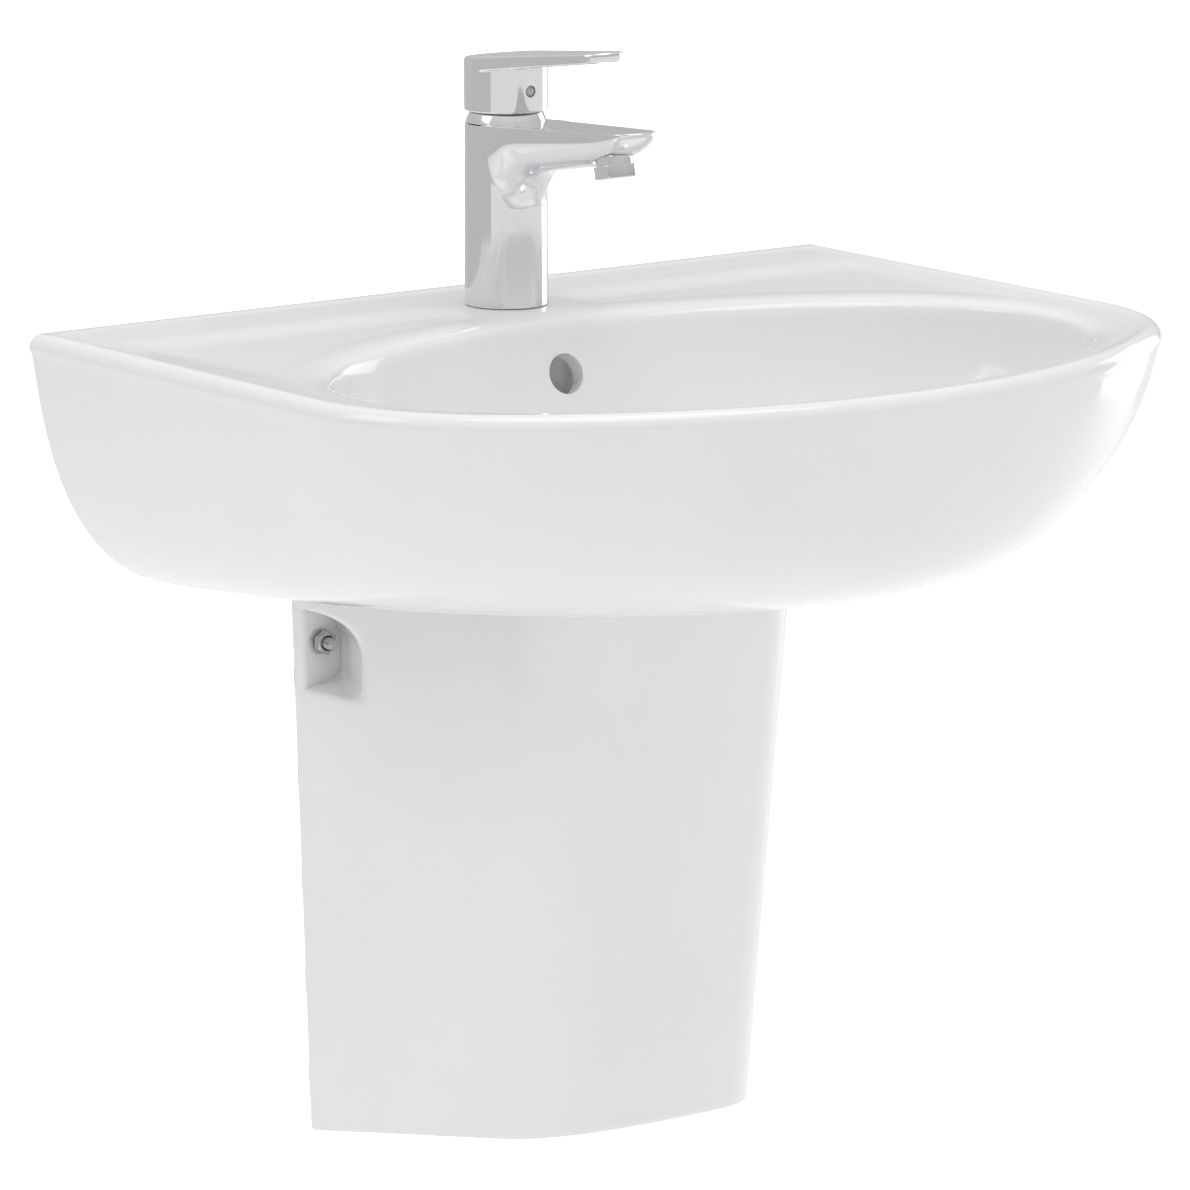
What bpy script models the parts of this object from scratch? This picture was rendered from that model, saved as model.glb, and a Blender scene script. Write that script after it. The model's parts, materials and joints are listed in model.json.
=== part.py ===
# A wall-hung washbasin on a semi-pedestal, with a single-lever mixer, a click-clack waste and a bottle trap.
#
# Seen from the front, +X is to the right, the wall is the plane Y = 0 and the user stands on its -Y side.
# The origin is on the wall, midway between the basin's two hanger bolts. Every height called z below is
# measured from the rim's crest, which lies HANGER_DROP above the origin.

import math

import bmesh
import bpy
import numpy as np
from mathutils import Matrix, Vector

MM = 0.001
GAP = 0.3 * MM  # clearance between pieces that touch

# basin: plan
BASIN_WIDTH = 600 * MM
BASIN_DEPTH = 483 * MM
RIM_CORNER_RADIUS = 132 * MM
RIM_FRONT_RADIUS = 400 * MM
HANGER_DROP = 80 * MM
HANGER_SPACING = 280 * MM
HANGER_HOLE_RADIUS = 8 * MM

# basin: section
CHINA = 11 * MM  # wall of the castings
WALL_PLATE = 14 * MM
APRON_TOP = -9 * MM
BASIN_HEIGHT = 158.4 * MM
APRON_FOOT = -147 * MM  # below this the apron has turned into the underside
FRONT_SECTION = ((0, 0), (4.5 * MM, 131 * MM), (5 * MM, 124 * MM), (298 * MM, 149.4 * MM))
SIDE_SECTION = ((0, 0), (6.3 * MM, 0.5 * MM), (4.3 * MM, 115.3 * MM), (80.5 * MM, 149.4 * MM))
APRON_ROUNDING = 0.88
APRON_ROUNDING_POWER = 1.94
LIP_RADIUS = 8 * MM
BACK_LIP_RADIUS = 3 * MM
DECK_Z = -1 * MM
DECK_THICKNESS = 13 * MM
FRONT_CAVITY_DEPTH = 45 * MM  # solid china above the hollow, under the narrow front lip
WIDE_LAND = 60 * MM
UNDER_OPENING_WIDTH = 160 * MM
UNDER_OPENING_DEPTH = 255 * MM
UNDER_OPENING_RADIUS = 50 * MM
UNDER_OPENING_BACK = 26 * MM

# bowl
SIDE_RIM = 45.5 * MM  # from the basin's side to the bowl's edge
BOWL_WIDTH = BASIN_WIDTH - 2 * SIDE_RIM
BOWL_BACK = 128 * MM  # from the wall to the bowl's back edge
FRONT_RIM = 27 * MM
BOWL_FRONT = BASIN_DEPTH - FRONT_RIM
BOWL_WIDEST_SHARE = 77 / 164  # of the way from the bowl's back edge to its front
BOWL_WIDEST = BOWL_BACK + (BOWL_FRONT - BOWL_BACK) * BOWL_WIDEST_SHARE
BOWL_EDGE_Z = -9 * MM
BOWL_FLOOR_Z = -122 * MM
BOWL_FULLNESS = 2.3
BOWL_BACK_FULLNESS = 1.1
OVERFLOW_RADIUS = 12.5 * MM
OVERFLOW_Z = -34 * MM

# drain and waste
DRAIN_SETBACK = 75 * MM  # from the bowl's back edge to the drain
DRAIN_Y = -(BOWL_BACK + DRAIN_SETBACK)
WASTE_RADIUS = 20.8 * MM
WASTE_WALL = 2.3 * MM
WASTE_BORE = WASTE_RADIUS - WASTE_WALL
WASTE_FLANGE_WIDTH = 11.2 * MM
WASTE_FLANGE_RADIUS = WASTE_RADIUS + WASTE_FLANGE_WIDTH
WASTE_FLANGE = 2 * MM
WASTE_SEAL = 1.2 * MM
WASTE_LENGTH = 67 * MM
DRAIN_HOLE_CLEARANCE = 2.2 * MM
DRAIN_HOLE_RADIUS = WASTE_RADIUS + DRAIN_HOLE_CLEARANCE
DRAIN_LAND_RADIUS = WASTE_FLANGE_RADIUS + MM
DRAIN_LAND_DROP = 3.5 * MM
DRAIN_BOSS_WALL = 15 * MM
DRAIN_BOSS_RADIUS = DRAIN_HOLE_RADIUS + DRAIN_BOSS_WALL
DRAIN_BOSS_Z = -147 * MM
PLUG_INSET = 2.5 * MM  # from the flange's edge to the plug's
PLUG_RADIUS = WASTE_FLANGE_RADIUS - PLUG_INSET
PLUG_STEM_RADIUS = 3 * MM
PLUG_STEM_LENGTH = 24 * MM
MECHANISM_RADIUS = 9 * MM

# mixer
TAP_Y = -74 * MM
TAP_HOLE_RADIUS = 17.5 * MM
TAP_RADIUS = 25.8 * MM
TAP_TAPER = 0.4 * MM
TAP_TOP_RADIUS = TAP_RADIUS - TAP_TAPER
TAP_TOP_Z = 111.5 * MM
TAP_BASE_SEAL = 1 * MM
TAP_WEB_Z = (50 * MM, 72 * MM)
COLLAR_TAPER = 2.5 * MM
COLLAR_FOOT_RADIUS = TAP_TOP_RADIUS - GAP
COLLAR_TOP_RADIUS = COLLAR_FOOT_RADIUS - COLLAR_TAPER
CARTRIDGE_BORE = 18.5 * MM
CARTRIDGE_BASE_Z = 74.2 * MM
CARTRIDGE_TOP_Z = 104 * MM
CARRIER_RADIUS = 12.7 * MM
CARRIER_BASE_Z = 86.3 * MM
CARRIER_BORE = 8.2 * MM
PIVOT_Z = 101 * MM
PIVOT_RADIUS = 1.5 * MM
SPINDLE_SIDE = 7 * MM
SPINDLE_TOP_Z = 137.5 * MM
HUB_BOTTOM_Z = 119 * MM
HUB_SKIRT = 2.5 * MM
HUB_CAVITY = 9 * MM  # height of the skirt round the hollow under the handle
INDICATOR_Z = 132.6 * MM
SCREW_BORE = 3.3 * MM
LEVER_REACH = 109 * MM  # from the mixer's axis to the lever's tip
LEVER_TIP_RADIUS = 14.5 * MM
LEVER_TOP_Z = 153.3 * MM
LEVER_TOP_RISE = 0.11
LEVER_UNDER_Z = 143.8 * MM
LEVER_UNDER_RISE = 0.14
SPOUT_REACH = 141 * MM
SPOUT_TIP_RADIUS = 15.5 * MM
SPOUT_TOP_Z = 111.4 * MM
SPOUT_TOP_RISE = 0.062
AERATOR_REACH = 111 * MM
AERATOR_Z = 97.3 * MM
AERATOR_TILT = math.radians(11)
AERATOR_RADIUS = 13 * MM
AERATOR_HEIGHT = 8 * MM
AERATOR_NECK = 11 * MM
AERATOR_SEAT = 8 * MM
WATERWAY = 6 * MM
FIXING_STUD_RADIUS = 4 * MM
FIXING_STUD_OFFSET = 11 * MM

# semi-pedestal
PEDESTAL_TOP_WIDTH = 225.8 * MM
PEDESTAL_FOOT_WIDTH = 199.4 * MM
PEDESTAL_TOP_FRONT_WIDTH = 186.6 * MM
PEDESTAL_FOOT_FRONT_WIDTH = 170.4 * MM
PEDESTAL_TOP_DEPTH = 273 * MM
PEDESTAL_FOOT_DEPTH = 237 * MM
PEDESTAL_FOOT_Z = -525.7 * MM
PEDESTAL_FOOT_SLOPE = 0.1775
PEDESTAL_CORNER_RADIUS = 50 * MM
PEDESTAL_FRONT_RADIUS = 260 * MM
EAR = 11 * MM  # thickness that the pedestal's bolts go through
POCKET_DEPTH = 31 * MM
POCKET_TOP_Z = -190 * MM
POCKET_FOOT_Z = -241 * MM
POCKET_REACH = 74 * MM
POCKET_WALL = 9 * MM
PEDESTAL_BOLT_X = 97 * MM
PEDESTAL_BOLT_Z = -211 * MM

# trap
TRAP_HEAD_RADIUS = 30 * MM
TRAP_TUBE_RADIUS = 16 * MM
TRAP_WALL = 1.7 * MM
TRAP_OUTLET_DROP = 126 * MM  # from the bowl's floor to the outlet's axis
TRAP_CUP_RADIUS = 33 * MM
TRAP_CUP_LENGTH = 70 * MM
ROSETTE_RADIUS = 34 * MM

# facets
OUTLINE_STEPS = (5, 6, 6)  # along the side, the corner and half of the front
BACK_STEPS = 12
ROUND = 24
SMALL = 16


# scene, collections and materials

for old in list(bpy.data.objects):
    bpy.data.objects.remove(old, do_unlink=True)

PARTS = bpy.data.collections.new("semi_pedestal_washbasin")
CUTTERS = bpy.data.collections.new("cutters")
bpy.context.scene.collection.children.link(PARTS)
bpy.context.scene.collection.children.link(CUTTERS)



def datum(name, at, home=None):
    """An empty that pieces are placed from."""
    made = bpy.data.objects.new(name, None)
    made.parent = home
    made.location = at
    PARTS.objects.link(made)
    return made


RIM = datum("rim_datum", (0, 0, HANGER_DROP))
SWIVEL = datum("lever_swivel_axis", (0, TAP_Y, 0), RIM)
PIVOT = datum("lever_tilt_axis", (0, TAP_Y, PIVOT_Z), RIM)
PLUG = datum("plug_axis", (0, DRAIN_Y, 0), RIM)


def material(name, colour, roughness, metallic):
    made = bpy.data.materials.new(name)
    made.use_nodes = True
    shader = made.node_tree.nodes["Principled BSDF"]
    shader.inputs["Base Color"].default_value = (*colour, 1)
    shader.inputs["Roughness"].default_value = roughness
    shader.inputs["Metallic"].default_value = metallic
    return made


CHINA_GLAZE = material("white_glazed_china", (0.86, 0.86, 0.87), 0.08, 0)
CHROME = material("chrome", (0.78, 0.79, 0.81), 0.06, 1)
BRASS = material("brass", (0.72, 0.53, 0.25), 0.3, 1)
ZINC = material("zinc_plated_steel", (0.55, 0.57, 0.6), 0.3, 1)
RUBBER = material("black_rubber", (0.03, 0.03, 0.03), 0.8, 0)
WHITE_PLASTIC = material("white_plastic", (0.82, 0.82, 0.8), 0.4, 0)
GREY_PLASTIC = material("grey_plastic", (0.35, 0.36, 0.38), 0.45, 0)
INDICATOR = material("indicator_plastic", (0.7, 0.72, 0.75), 0.25, 0)


# makers

def place(made, finish, at=(0, 0, 0), turn=(0, 0, 0)):
    made.parent = RIM
    made.location = at
    made.rotation_euler = turn
    if finish is None:
        CUTTERS.objects.link(made)
        made.hide_render = True
        made.display_type = "WIRE"
    else:
        PARTS.objects.link(made)
        made.data.materials.append(finish)
    return made


def hang(empty, *pieces):
    """Hands pieces to the empty that they move with."""
    for piece in pieces:
        piece.parent = empty
        piece.location -= empty.location


def shade(mesh, angle=35):
    mesh.shade_smooth()
    mesh.set_sharp_from_angle(angle=math.radians(angle))


TO_USER = (math.radians(90), 0, 0)  # turns a local +Z away from the wall


def turned(name, profile, finish, at=(0, 0, 0), turn=(0, 0, 0), steps=ROUND):
    """A profile of (radius, height) points turned about its own Z; its outer side runs top to bottom."""
    mesh = bpy.data.meshes.new(name)
    points = [(r, 0, z) for r, z in profile]
    edges = [(k, k + 1) for k in range(len(points) - 1)]
    if min(profile[0][0], profile[-1][0]) > 0:
        edges.append((len(points) - 1, 0))
    mesh.from_pydata(points, edges, [])
    made = place(bpy.data.objects.new(name, mesh), finish, at, turn)
    screw = made.modifiers.new("turn", "SCREW")
    screw.steps = screw.render_steps = steps
    screw.use_merge_vertices = True
    screw.merge_threshold = 0.00001
    screw.use_smooth_shade = True
    return made


def ring(name, outer, inner, top, bottom, finish, at=(0, 0, 0), turn=(0, 0, 0), steps=ROUND):
    profile = [(outer, top), (outer, bottom), (inner, bottom), (inner, top)]
    return turned(name, profile, finish, at, turn, steps)


def rod(name, radius, top, bottom, finish, at=(0, 0, 0), turn=(0, 0, 0), steps=SMALL):
    profile = [(0, top), (radius, top), (radius, bottom), (0, bottom)]
    return turned(name, profile, finish, at, turn, steps)


def block(name, low, high, finish, turn=(0, 0, 0), at=(0, 0, 0)):
    size = Vector(high) - Vector(low)
    middle = (Vector(high) + Vector(low)) / 2
    body = bmesh.new()
    bmesh.ops.create_cube(body, size=1, matrix=Matrix.Translation(middle) @ Matrix.Diagonal((*size, 1)))
    mesh = bpy.data.meshes.new(name)
    body.to_mesh(mesh)
    body.free()
    return place(bpy.data.objects.new(name, mesh), finish, at, turn)


def hexagon(name, across_flats, bore, top, bottom, finish, at=(0, 0, 0), turn=(0, 0, 0), steps=SMALL):
    body = bmesh.new()
    radius = across_flats / math.sqrt(3)
    bmesh.ops.create_cone(body, cap_ends=True, segments=6, radius1=radius, radius2=radius, depth=top - bottom)
    bmesh.ops.translate(body, verts=body.verts, vec=(0, 0, (top + bottom) / 2))
    mesh = bpy.data.meshes.new(name)
    body.to_mesh(mesh)
    body.free()
    made = place(bpy.data.objects.new(name, mesh), finish, at, turn)
    cut(made, rod(name + "_bore", bore, top + 5 * MM, bottom - 5 * MM, None, at, turn, steps))
    return made


def combine(target, tool, operation):
    modifier = target.modifiers.new(tool.name, "BOOLEAN")
    modifier.operation = operation
    modifier.object = tool


def cut(target, *tools):
    for tool in tools:
        combine(target, tool, "DIFFERENCE")


def join(target, *tools):
    for tool in tools:
        combine(target, tool, "UNION")


def loft(name, rings, finish, closed=False, at=(0, 0, 0), angle=35):
    """Skins closed rings of equally many points; the ends are capped, or meet when closed is true."""
    body = bmesh.new()
    rows = [[body.verts.new(point) for point in row] for row in rings]
    pairs = list(zip(rows, rows[1:]))
    if closed:
        pairs.append((rows[-1], rows[0]))
    for near, far in pairs:
        for k in range(len(near)):
            n = (k + 1) % len(near)
            body.faces.new((near[k], near[n], far[n], far[k]))
    if not closed:
        body.faces.new(rows[0])
        body.faces.new(rows[-1])
    bmesh.ops.remove_doubles(body, verts=body.verts, dist=0.000001)
    bmesh.ops.recalc_face_normals(body, faces=body.faces)
    mesh = bpy.data.meshes.new(name)
    body.to_mesh(mesh)
    body.free()
    shade(mesh, angle)
    return place(bpy.data.objects.new(name, mesh), finish, at)


# basin: surfaces

def half_outline(half_width, depth, corner, front, steps=OUTLINE_STEPS):
    """The right half of a D seen from above, from the wall to the middle of its bowed front."""
    front_y = front - depth
    corner_x = half_width - corner
    corner_y = front_y - math.sqrt((front - corner) ** 2 - corner_x**2)
    meet = math.atan2(corner_y - front_y, corner_x)
    side, bend, bow = steps
    points = [(half_width, corner_y * k / side) for k in range(side)]
    for k in range(bend):
        turn = meet * k / bend
        points.append((corner_x + corner * math.cos(turn), corner_y + corner * math.sin(turn)))
    for k in range(bow + 1):
        turn = meet + (-math.pi / 2 - meet) * k / bow
        points.append((front * math.cos(turn), front_y + front * math.sin(turn)))
    return points


def whole_outline(half):
    """The half and its mirror image, from the right end round the front to the left end."""
    return np.array(half + [(-x, y) for x, y in reversed(half[:-1])])


RIM_HALF = half_outline(BASIN_WIDTH / 2, BASIN_DEPTH, RIM_CORNER_RADIUS, RIM_FRONT_RADIUS)
RIM_LINE = whole_outline(RIM_HALF)
ARC_COUNT = len(RIM_LINE)


def with_back(arc, y):
    """Closes an arc of points by a straight run back along the wall; x and z run evenly between its ends."""
    left, right = np.array(arc[-1], float), np.array(arc[0], float)
    left[1] = right[1] = y
    run = [left + (right - left) * k / BACK_STEPS for k in range(1, BACK_STEPS)]
    return np.vstack([[left if k == len(arc) - 1 else right if k == 0 else p for k, p in enumerate(arc)], run])


def curve_points(section, count=120):
    a, b, c, d = (np.array(p, float) for p in section)
    t = np.linspace(0, 1, count)[:, None]
    return (1 - t) ** 3 * a + 3 * (1 - t) ** 2 * t * b + 3 * (1 - t) * t**2 * c + t**3 * d


FRONT_CURVE = curve_points(FRONT_SECTION)
SIDE_CURVE = curve_points(SIDE_SECTION)


def inset(curve, drop):
    order = np.maximum.accumulate(curve[:, 1])
    return np.interp(drop, order, curve[:, 0])


RIM_SIZE = np.array((BASIN_WIDTH / 2, BASIN_DEPTH))
RIM_UNIT = RIM_LINE / RIM_SIZE
RIM_TURN = np.arctan2(RIM_UNIT[:, 0], -RIM_UNIT[:, 1])
OVAL_UNIT = np.column_stack([np.sin(RIM_TURN), -np.cos(RIM_TURN)])


def apron_level(z):
    """The apron's outline at a height: it draws in by the two sections and rounds from a D to an oval."""
    drop = APRON_TOP - z
    size = RIM_SIZE - (inset(SIDE_CURVE, drop), inset(FRONT_CURVE, drop))
    mix = APRON_ROUNDING * (-z / BASIN_HEIGHT) ** APRON_ROUNDING_POWER
    return ((1 - mix) * RIM_UNIT + mix * OVAL_UNIT) * size


def reach(z, heading):
    level = apron_level(z)
    headings = np.arctan2(level[:, 0], -level[:, 1])
    order = np.argsort(headings)
    return np.interp(heading, headings[order], np.hypot(level[:, 0], level[:, 1])[order])


def underside(x, y):
    """The height of the basin's underside over a point of the plan."""
    heading, distance = math.atan2(x, -y), math.hypot(x, y)
    low, high = -BASIN_HEIGHT, APRON_TOP
    if reach(low, heading) >= distance:
        return low
    for _ in range(24):
        middle = (low + high) / 2
        if reach(middle, heading) < distance:
            low = middle
        else:
            high = middle
    return high


def apron_point(k, z):
    x, y = apron_level(z)[k]
    return np.array((x, y, z))


def unit(v):
    return v / np.linalg.norm(v)


def inside_apron(k, z, thickness):
    """A point a wall's thickness inside the apron."""
    last = ARC_COUNT - 1
    along = apron_point(min(k + 1, last), z) - apron_point(max(k - 1, 0), z)
    up = apron_point(k, z + MM) - apron_point(k, z - MM)
    inward = unit(np.cross(up, along))
    point = apron_point(k, z)
    if np.dot(inward[:2], point[:2] - (0, -BASIN_DEPTH / 2)) > 0:
        inward = -inward
    moved = point + inward * thickness
    moved[1] = min(moved[1], -WALL_PLATE)
    return moved


BOWL_HEADING = np.arctan2(RIM_LINE[:, 1] + BOWL_WIDEST, RIM_LINE[:, 0])
BACK_LINE = with_back(np.column_stack([RIM_LINE, np.zeros(ARC_COUNT)]), 0)
RING_HEADING = np.arctan2(BACK_LINE[:, 1] + BOWL_WIDEST, BACK_LINE[:, 0])


def bowl_level(z):
    """The bowl's outline at a height: two half ovals that share its widest line."""
    share = min(1, (BOWL_EDGE_Z - z) / (BOWL_EDGE_Z - BOWL_FLOOR_Z))
    width = (1 - share**BOWL_FULLNESS) ** (1 / BOWL_FULLNESS)
    back = (1 - share**BOWL_BACK_FULLNESS) ** (1 / BOWL_BACK_FULLNESS)
    floor = DRAIN_LAND_RADIUS + 4 * MM
    half = floor + (BOWL_WIDTH / 2 - floor) * width
    front_y = DRAIN_Y - floor + (-BOWL_FRONT - DRAIN_Y + floor) * width
    back_y = DRAIN_Y + floor + (-BOWL_BACK - DRAIN_Y - floor) * back
    middle = DRAIN_Y + (-BOWL_WIDEST - DRAIN_Y) * width
    c, s = np.cos(RING_HEADING), np.sin(RING_HEADING)
    depth = np.where(s < 0, middle - front_y, back_y - middle)
    length = 1 / np.sqrt((c / half) ** 2 + (s / depth) ** 2)
    return np.column_stack([c * length, middle + s * length, np.full(len(c), z)])


def circle_level(radius, z):
    return np.column_stack([
        radius * np.cos(RING_HEADING), DRAIN_Y + radius * np.sin(RING_HEADING), np.full(len(RING_HEADING), z),
    ])


def under_bowl(levels, thickness):
    """The bowl's outer face, a wall's thickness off, for one height per point of the ring."""
    count = len(RING_HEADING)
    moved = []
    for k, z in enumerate(levels):
        here = bowl_level(z)
        along = here[(k + 1) % count] - here[k - 1]
        up = bowl_level(z + MM)[k] - bowl_level(z - MM)[k]
        away = unit(np.cross(along, up))
        if away[2] > 0:
            away = -away
        moved.append(here[k] + away * thickness)
    return np.array(moved)


def level_ring(z):
    return with_back(np.column_stack([apron_level(z), np.full(ARC_COUNT, z)]), 0)


def lip_ring(share):
    """The rounded lip between the apron's top (share 0) and the rim's crest (share 1)."""
    turn = share * math.pi / 2
    lean = 1 - math.cos(turn)
    z = APRON_TOP * (1 - math.sin(turn))
    along = np.gradient(RIM_LINE, axis=0)
    along[0], along[-1] = (0, -1), (0, 1)
    normal = np.column_stack([-along[:, 1], along[:, 0]])
    normal /= np.linalg.norm(normal, axis=1)[:, None]
    arc = RIM_LINE - normal * LIP_RADIUS * lean
    return with_back(np.column_stack([arc, np.full(ARC_COUNT, z)]), -BACK_LIP_RADIUS * lean)


def opening_ring(z_above):
    """The opening under the basin that the pedestal hides."""
    half = half_outline(UNDER_OPENING_WIDTH / 2, UNDER_OPENING_DEPTH, UNDER_OPENING_RADIUS, RIM_FRONT_RADIUS)
    arc = whole_outline(half)
    heights = [underside(x, y) + z_above for x, y in arc]
    return with_back(np.column_stack([arc, heights]), -UNDER_OPENING_BACK)


FOOT_SHARES = (0.12, 0.4, 0.75)


def foot_ring(share, foot, opening):
    """Between the apron's foot and the opening, on the underside."""
    arc = foot[:ARC_COUNT, :2] * (1 - share) + opening[:ARC_COUNT, :2] * share
    back = -UNDER_OPENING_BACK * (share - FOOT_SHARES[0]) / (1 - FOOT_SHARES[0])
    arc[0, 1] = arc[-1, 1] = back
    heights = [underside(x, y) for x, y in arc]
    return with_back(np.column_stack([arc, heights]), back)


def raised(outer, thickness):
    """A ring of the underside lifted square to it by a wall's thickness."""
    arc = []
    for x, y, z in outer[:ARC_COUNT]:
        slope_x = (underside(x + MM, y) - underside(x - MM, y)) / (2 * MM)
        slope_y = (underside(x, y + MM) - underside(x, y - MM)) / (2 * MM)
        normal = unit(np.array((-slope_x, -slope_y, 1)))
        point = np.array((x, y, z)) + normal * thickness
        point[1] = min(point[1], -WALL_PLATE)
        arc.append(point)
    share = -outer[0, 1] / UNDER_OPENING_BACK
    return with_back(np.array(arc), -WALL_PLATE - (UNDER_OPENING_BACK - WALL_PLATE) * share)


def make_basin():
    crest = lip_ring(1)
    edge = bowl_level(BOWL_EDGE_Z)
    land = np.linalg.norm(crest[:, :2] - edge[:, :2], axis=1)
    narrow = np.clip((WIDE_LAND - land) / (WIDE_LAND - land.min()), 0, 1)
    roof = DECK_Z - DECK_THICKNESS - narrow * (FRONT_CAVITY_DEPTH - DECK_THICKNESS)

    def deck(share, z):
        row = crest * (1 - share) + edge * share
        row[:, 2] = z
        return row

    foot = level_ring(APRON_FOOT)
    opening = opening_ring(0)
    feet = [foot_ring(share, foot, opening) for share in FOOT_SHARES]
    outside = [lip_ring(share) for share in (0.75, 0.4)]
    outside += [level_ring(z * MM) for z in (-9, -35, -65, -92, -113, -129, -140)] + [foot] + feet + [opening]

    inner_foot = APRON_FOOT + 2 * MM
    inside = [opening_ring(CHINA)] + [raised(row, CHINA) for row in reversed(feet)]
    for share in (0.05, 0.25, 0.5, 0.75, 1):
        arc = [inside_apron(k, inner_foot + (roof[k] - inner_foot) * share, CHINA) for k in range(ARC_COUNT)]
        inside.append(with_back(np.array(arc), -WALL_PLATE))
    for row in inside[-1:]:
        row[:, 2] = roof

    below = []
    for share in (0.02, 0.3, 0.55, 0.75, 0.9, 0.98):
        below.append(under_bowl(roof + (BOWL_FLOOR_Z + 1.5 * MM - roof) * share, CHINA))
    below[0][:, 2] = roof
    boss_top = DRAIN_BOSS_Z + 8 * MM
    below += [circle_level(DRAIN_BOSS_RADIUS, boss_top), circle_level(DRAIN_BOSS_RADIUS, DRAIN_BOSS_Z)]

    hole = [circle_level(DRAIN_HOLE_RADIUS, DRAIN_BOSS_Z)]
    land_z = BOWL_FLOOR_Z - DRAIN_LAND_DROP
    hole += [circle_level(DRAIN_HOLE_RADIUS, land_z), circle_level(DRAIN_LAND_RADIUS, land_z)]
    hole += [circle_level(DRAIN_LAND_RADIUS + MM, BOWL_FLOOR_Z)]
    bowl = [bowl_level(BOWL_EDGE_Z + (BOWL_FLOOR_Z + 0.2 * MM - BOWL_EDGE_Z) * share)
            for share in (0.995, 0.97, 0.9, 0.78, 0.62, 0.42, 0.2, 0)]
    top = [deck(0.92, -4 * MM), deck(0.8, DECK_Z), deck(0.15, DECK_Z), crest]
    basin = loft("basin", outside + inside + below + hole + bowl + top, CHINA_GLAZE, closed=True)

    for side in (-1, 1):
        cut(basin, rod("hanger_hole", HANGER_HOLE_RADIUS, WALL_PLATE + 5 * MM, -5 * MM, None,
                       (side * HANGER_SPACING / 2, 0, -HANGER_DROP), TO_USER))
    half_facet = math.pi / ROUND  # keeps the hole's corners off the mesh's middle edges
    cut(basin, rod("tap_hole", TAP_HOLE_RADIUS, 20 * MM, -40 * MM, None, (0, TAP_Y, 0), (0, 0, half_facet), ROUND))
    cut(basin, rod("overflow_hole", OVERFLOW_RADIUS, 40 * MM, -40 * MM, None,
                   (0, -BOWL_BACK - 14 * MM, OVERFLOW_Z), (math.radians(70), 0, 0), ROUND))
    return basin


# semi-pedestal

def pedestal_half(z, offset=0):
    """The right half of the pedestal's outline at a height, drawn in by offset."""
    share = (z + BASIN_HEIGHT) / (PEDESTAL_FOOT_Z + BASIN_HEIGHT)
    wall = (PEDESTAL_TOP_WIDTH + (PEDESTAL_FOOT_WIDTH - PEDESTAL_TOP_WIDTH) * share) / 2 - offset
    front = (PEDESTAL_TOP_FRONT_WIDTH + (PEDESTAL_FOOT_FRONT_WIDTH - PEDESTAL_TOP_FRONT_WIDTH) * share) / 2
    front -= offset
    depth = PEDESTAL_TOP_DEPTH + (PEDESTAL_FOOT_DEPTH - PEDESTAL_TOP_DEPTH) * share - offset
    half = half_outline(front, depth, PEDESTAL_CORNER_RADIUS - offset, PEDESTAL_FRONT_RADIUS - offset, (4, 5, 3))
    splay = wall / front - 1
    return [(x * (1 + splay * (1 + y / depth)), y) for x, y in half]


def pedestal_foot(y):
    return PEDESTAL_FOOT_Z - PEDESTAL_FOOT_SLOPE * y


def make_pedestal():
    count = len(whole_outline(pedestal_half(0)))
    steps = 4

    def sag(a, b):
        (ax, ay), (bx, by) = a, b
        chord = (underside(ax, ay) + underside(bx, by)) / 2
        return max(0, chord - underside((ax + bx) / 2, (ay + by) / 2))

    def column(k, offset):
        ring_top = whole_outline(pedestal_half(-BASIN_HEIGHT, offset))
        top_x, top_y = ring_top[k]
        bow = max(sag(ring_top[k], ring_top[max(k - 1, 0)]), sag(ring_top[k], ring_top[min(k + 1, count - 1)]))
        top = underside(top_x, top_y) - 2 * GAP - max(0, bow - GAP)
        column_points = []
        foot = pedestal_foot(whole_outline(pedestal_half(PEDESTAL_FOOT_Z, offset))[k][1])
        for step in range(steps + 1):
            z = top + (foot - top) * step / steps
            x, y = whole_outline(pedestal_half(z, offset))[k]
            column_points.append((x, y, z))
        return column_points

    sections = [column(k, 0) + column(k, CHINA)[::-1] for k in range(count)]
    pedestal = loft("semi_pedestal", sections, CHINA_GLAZE)
    for side in (-1, 1):
        lining, pocket = (pocket_tool(side, name, grow) for name, grow in
                          (("pocket_lining", POCKET_WALL), ("pocket", 0)))
        join(pedestal, lining)
        cut(pedestal, pocket)
        cut(pedestal, rod("pedestal_bolt_hole", 5 * MM, EAR + 5 * MM, -5 * MM, None,
                          (side * PEDESTAL_BOLT_X, 0, PEDESTAL_BOLT_Z), TO_USER))
    return pedestal


def pocket_tool(side, name, grow):
    """The bolt pocket, which narrows inwards from the pedestal's side; grow gives the china round it."""
    wall_x = PEDESTAL_TOP_WIDTH / 2
    deep_x = wall_x - POCKET_DEPTH - grow
    shallow_x = wall_x - CHINA + 2 * MM if grow else wall_x + 10 * MM
    overrun = (shallow_x - deep_x) / (wall_x - deep_x)

    def outline(x, reach_y):
        near = -EAR if grow == 0 else 0
        far = -reach_y - grow
        top, foot = POCKET_TOP_Z + grow, POCKET_FOOT_Z - grow
        bend = min(22 * MM, (near - far) * 0.6)
        points = [(side * x, near, foot), (side * x, near, top)]
        for step in range(6):
            turn = math.pi / 2 * step / 5
            points.append((side * x, far + bend - bend * math.sin(turn), top - bend + bend * math.cos(turn)))
        points.append((side * x, far, foot + 4 * MM))
        points.append((side * x, far + 4 * MM, foot))
        return points

    shallow_reach = EAR + 5 * MM + (POCKET_REACH - EAR - 5 * MM) * overrun
    return loft(name, [outline(deep_x, EAR + 5 * MM), outline(shallow_x, shallow_reach)],
                None)


# wall fixings

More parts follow.
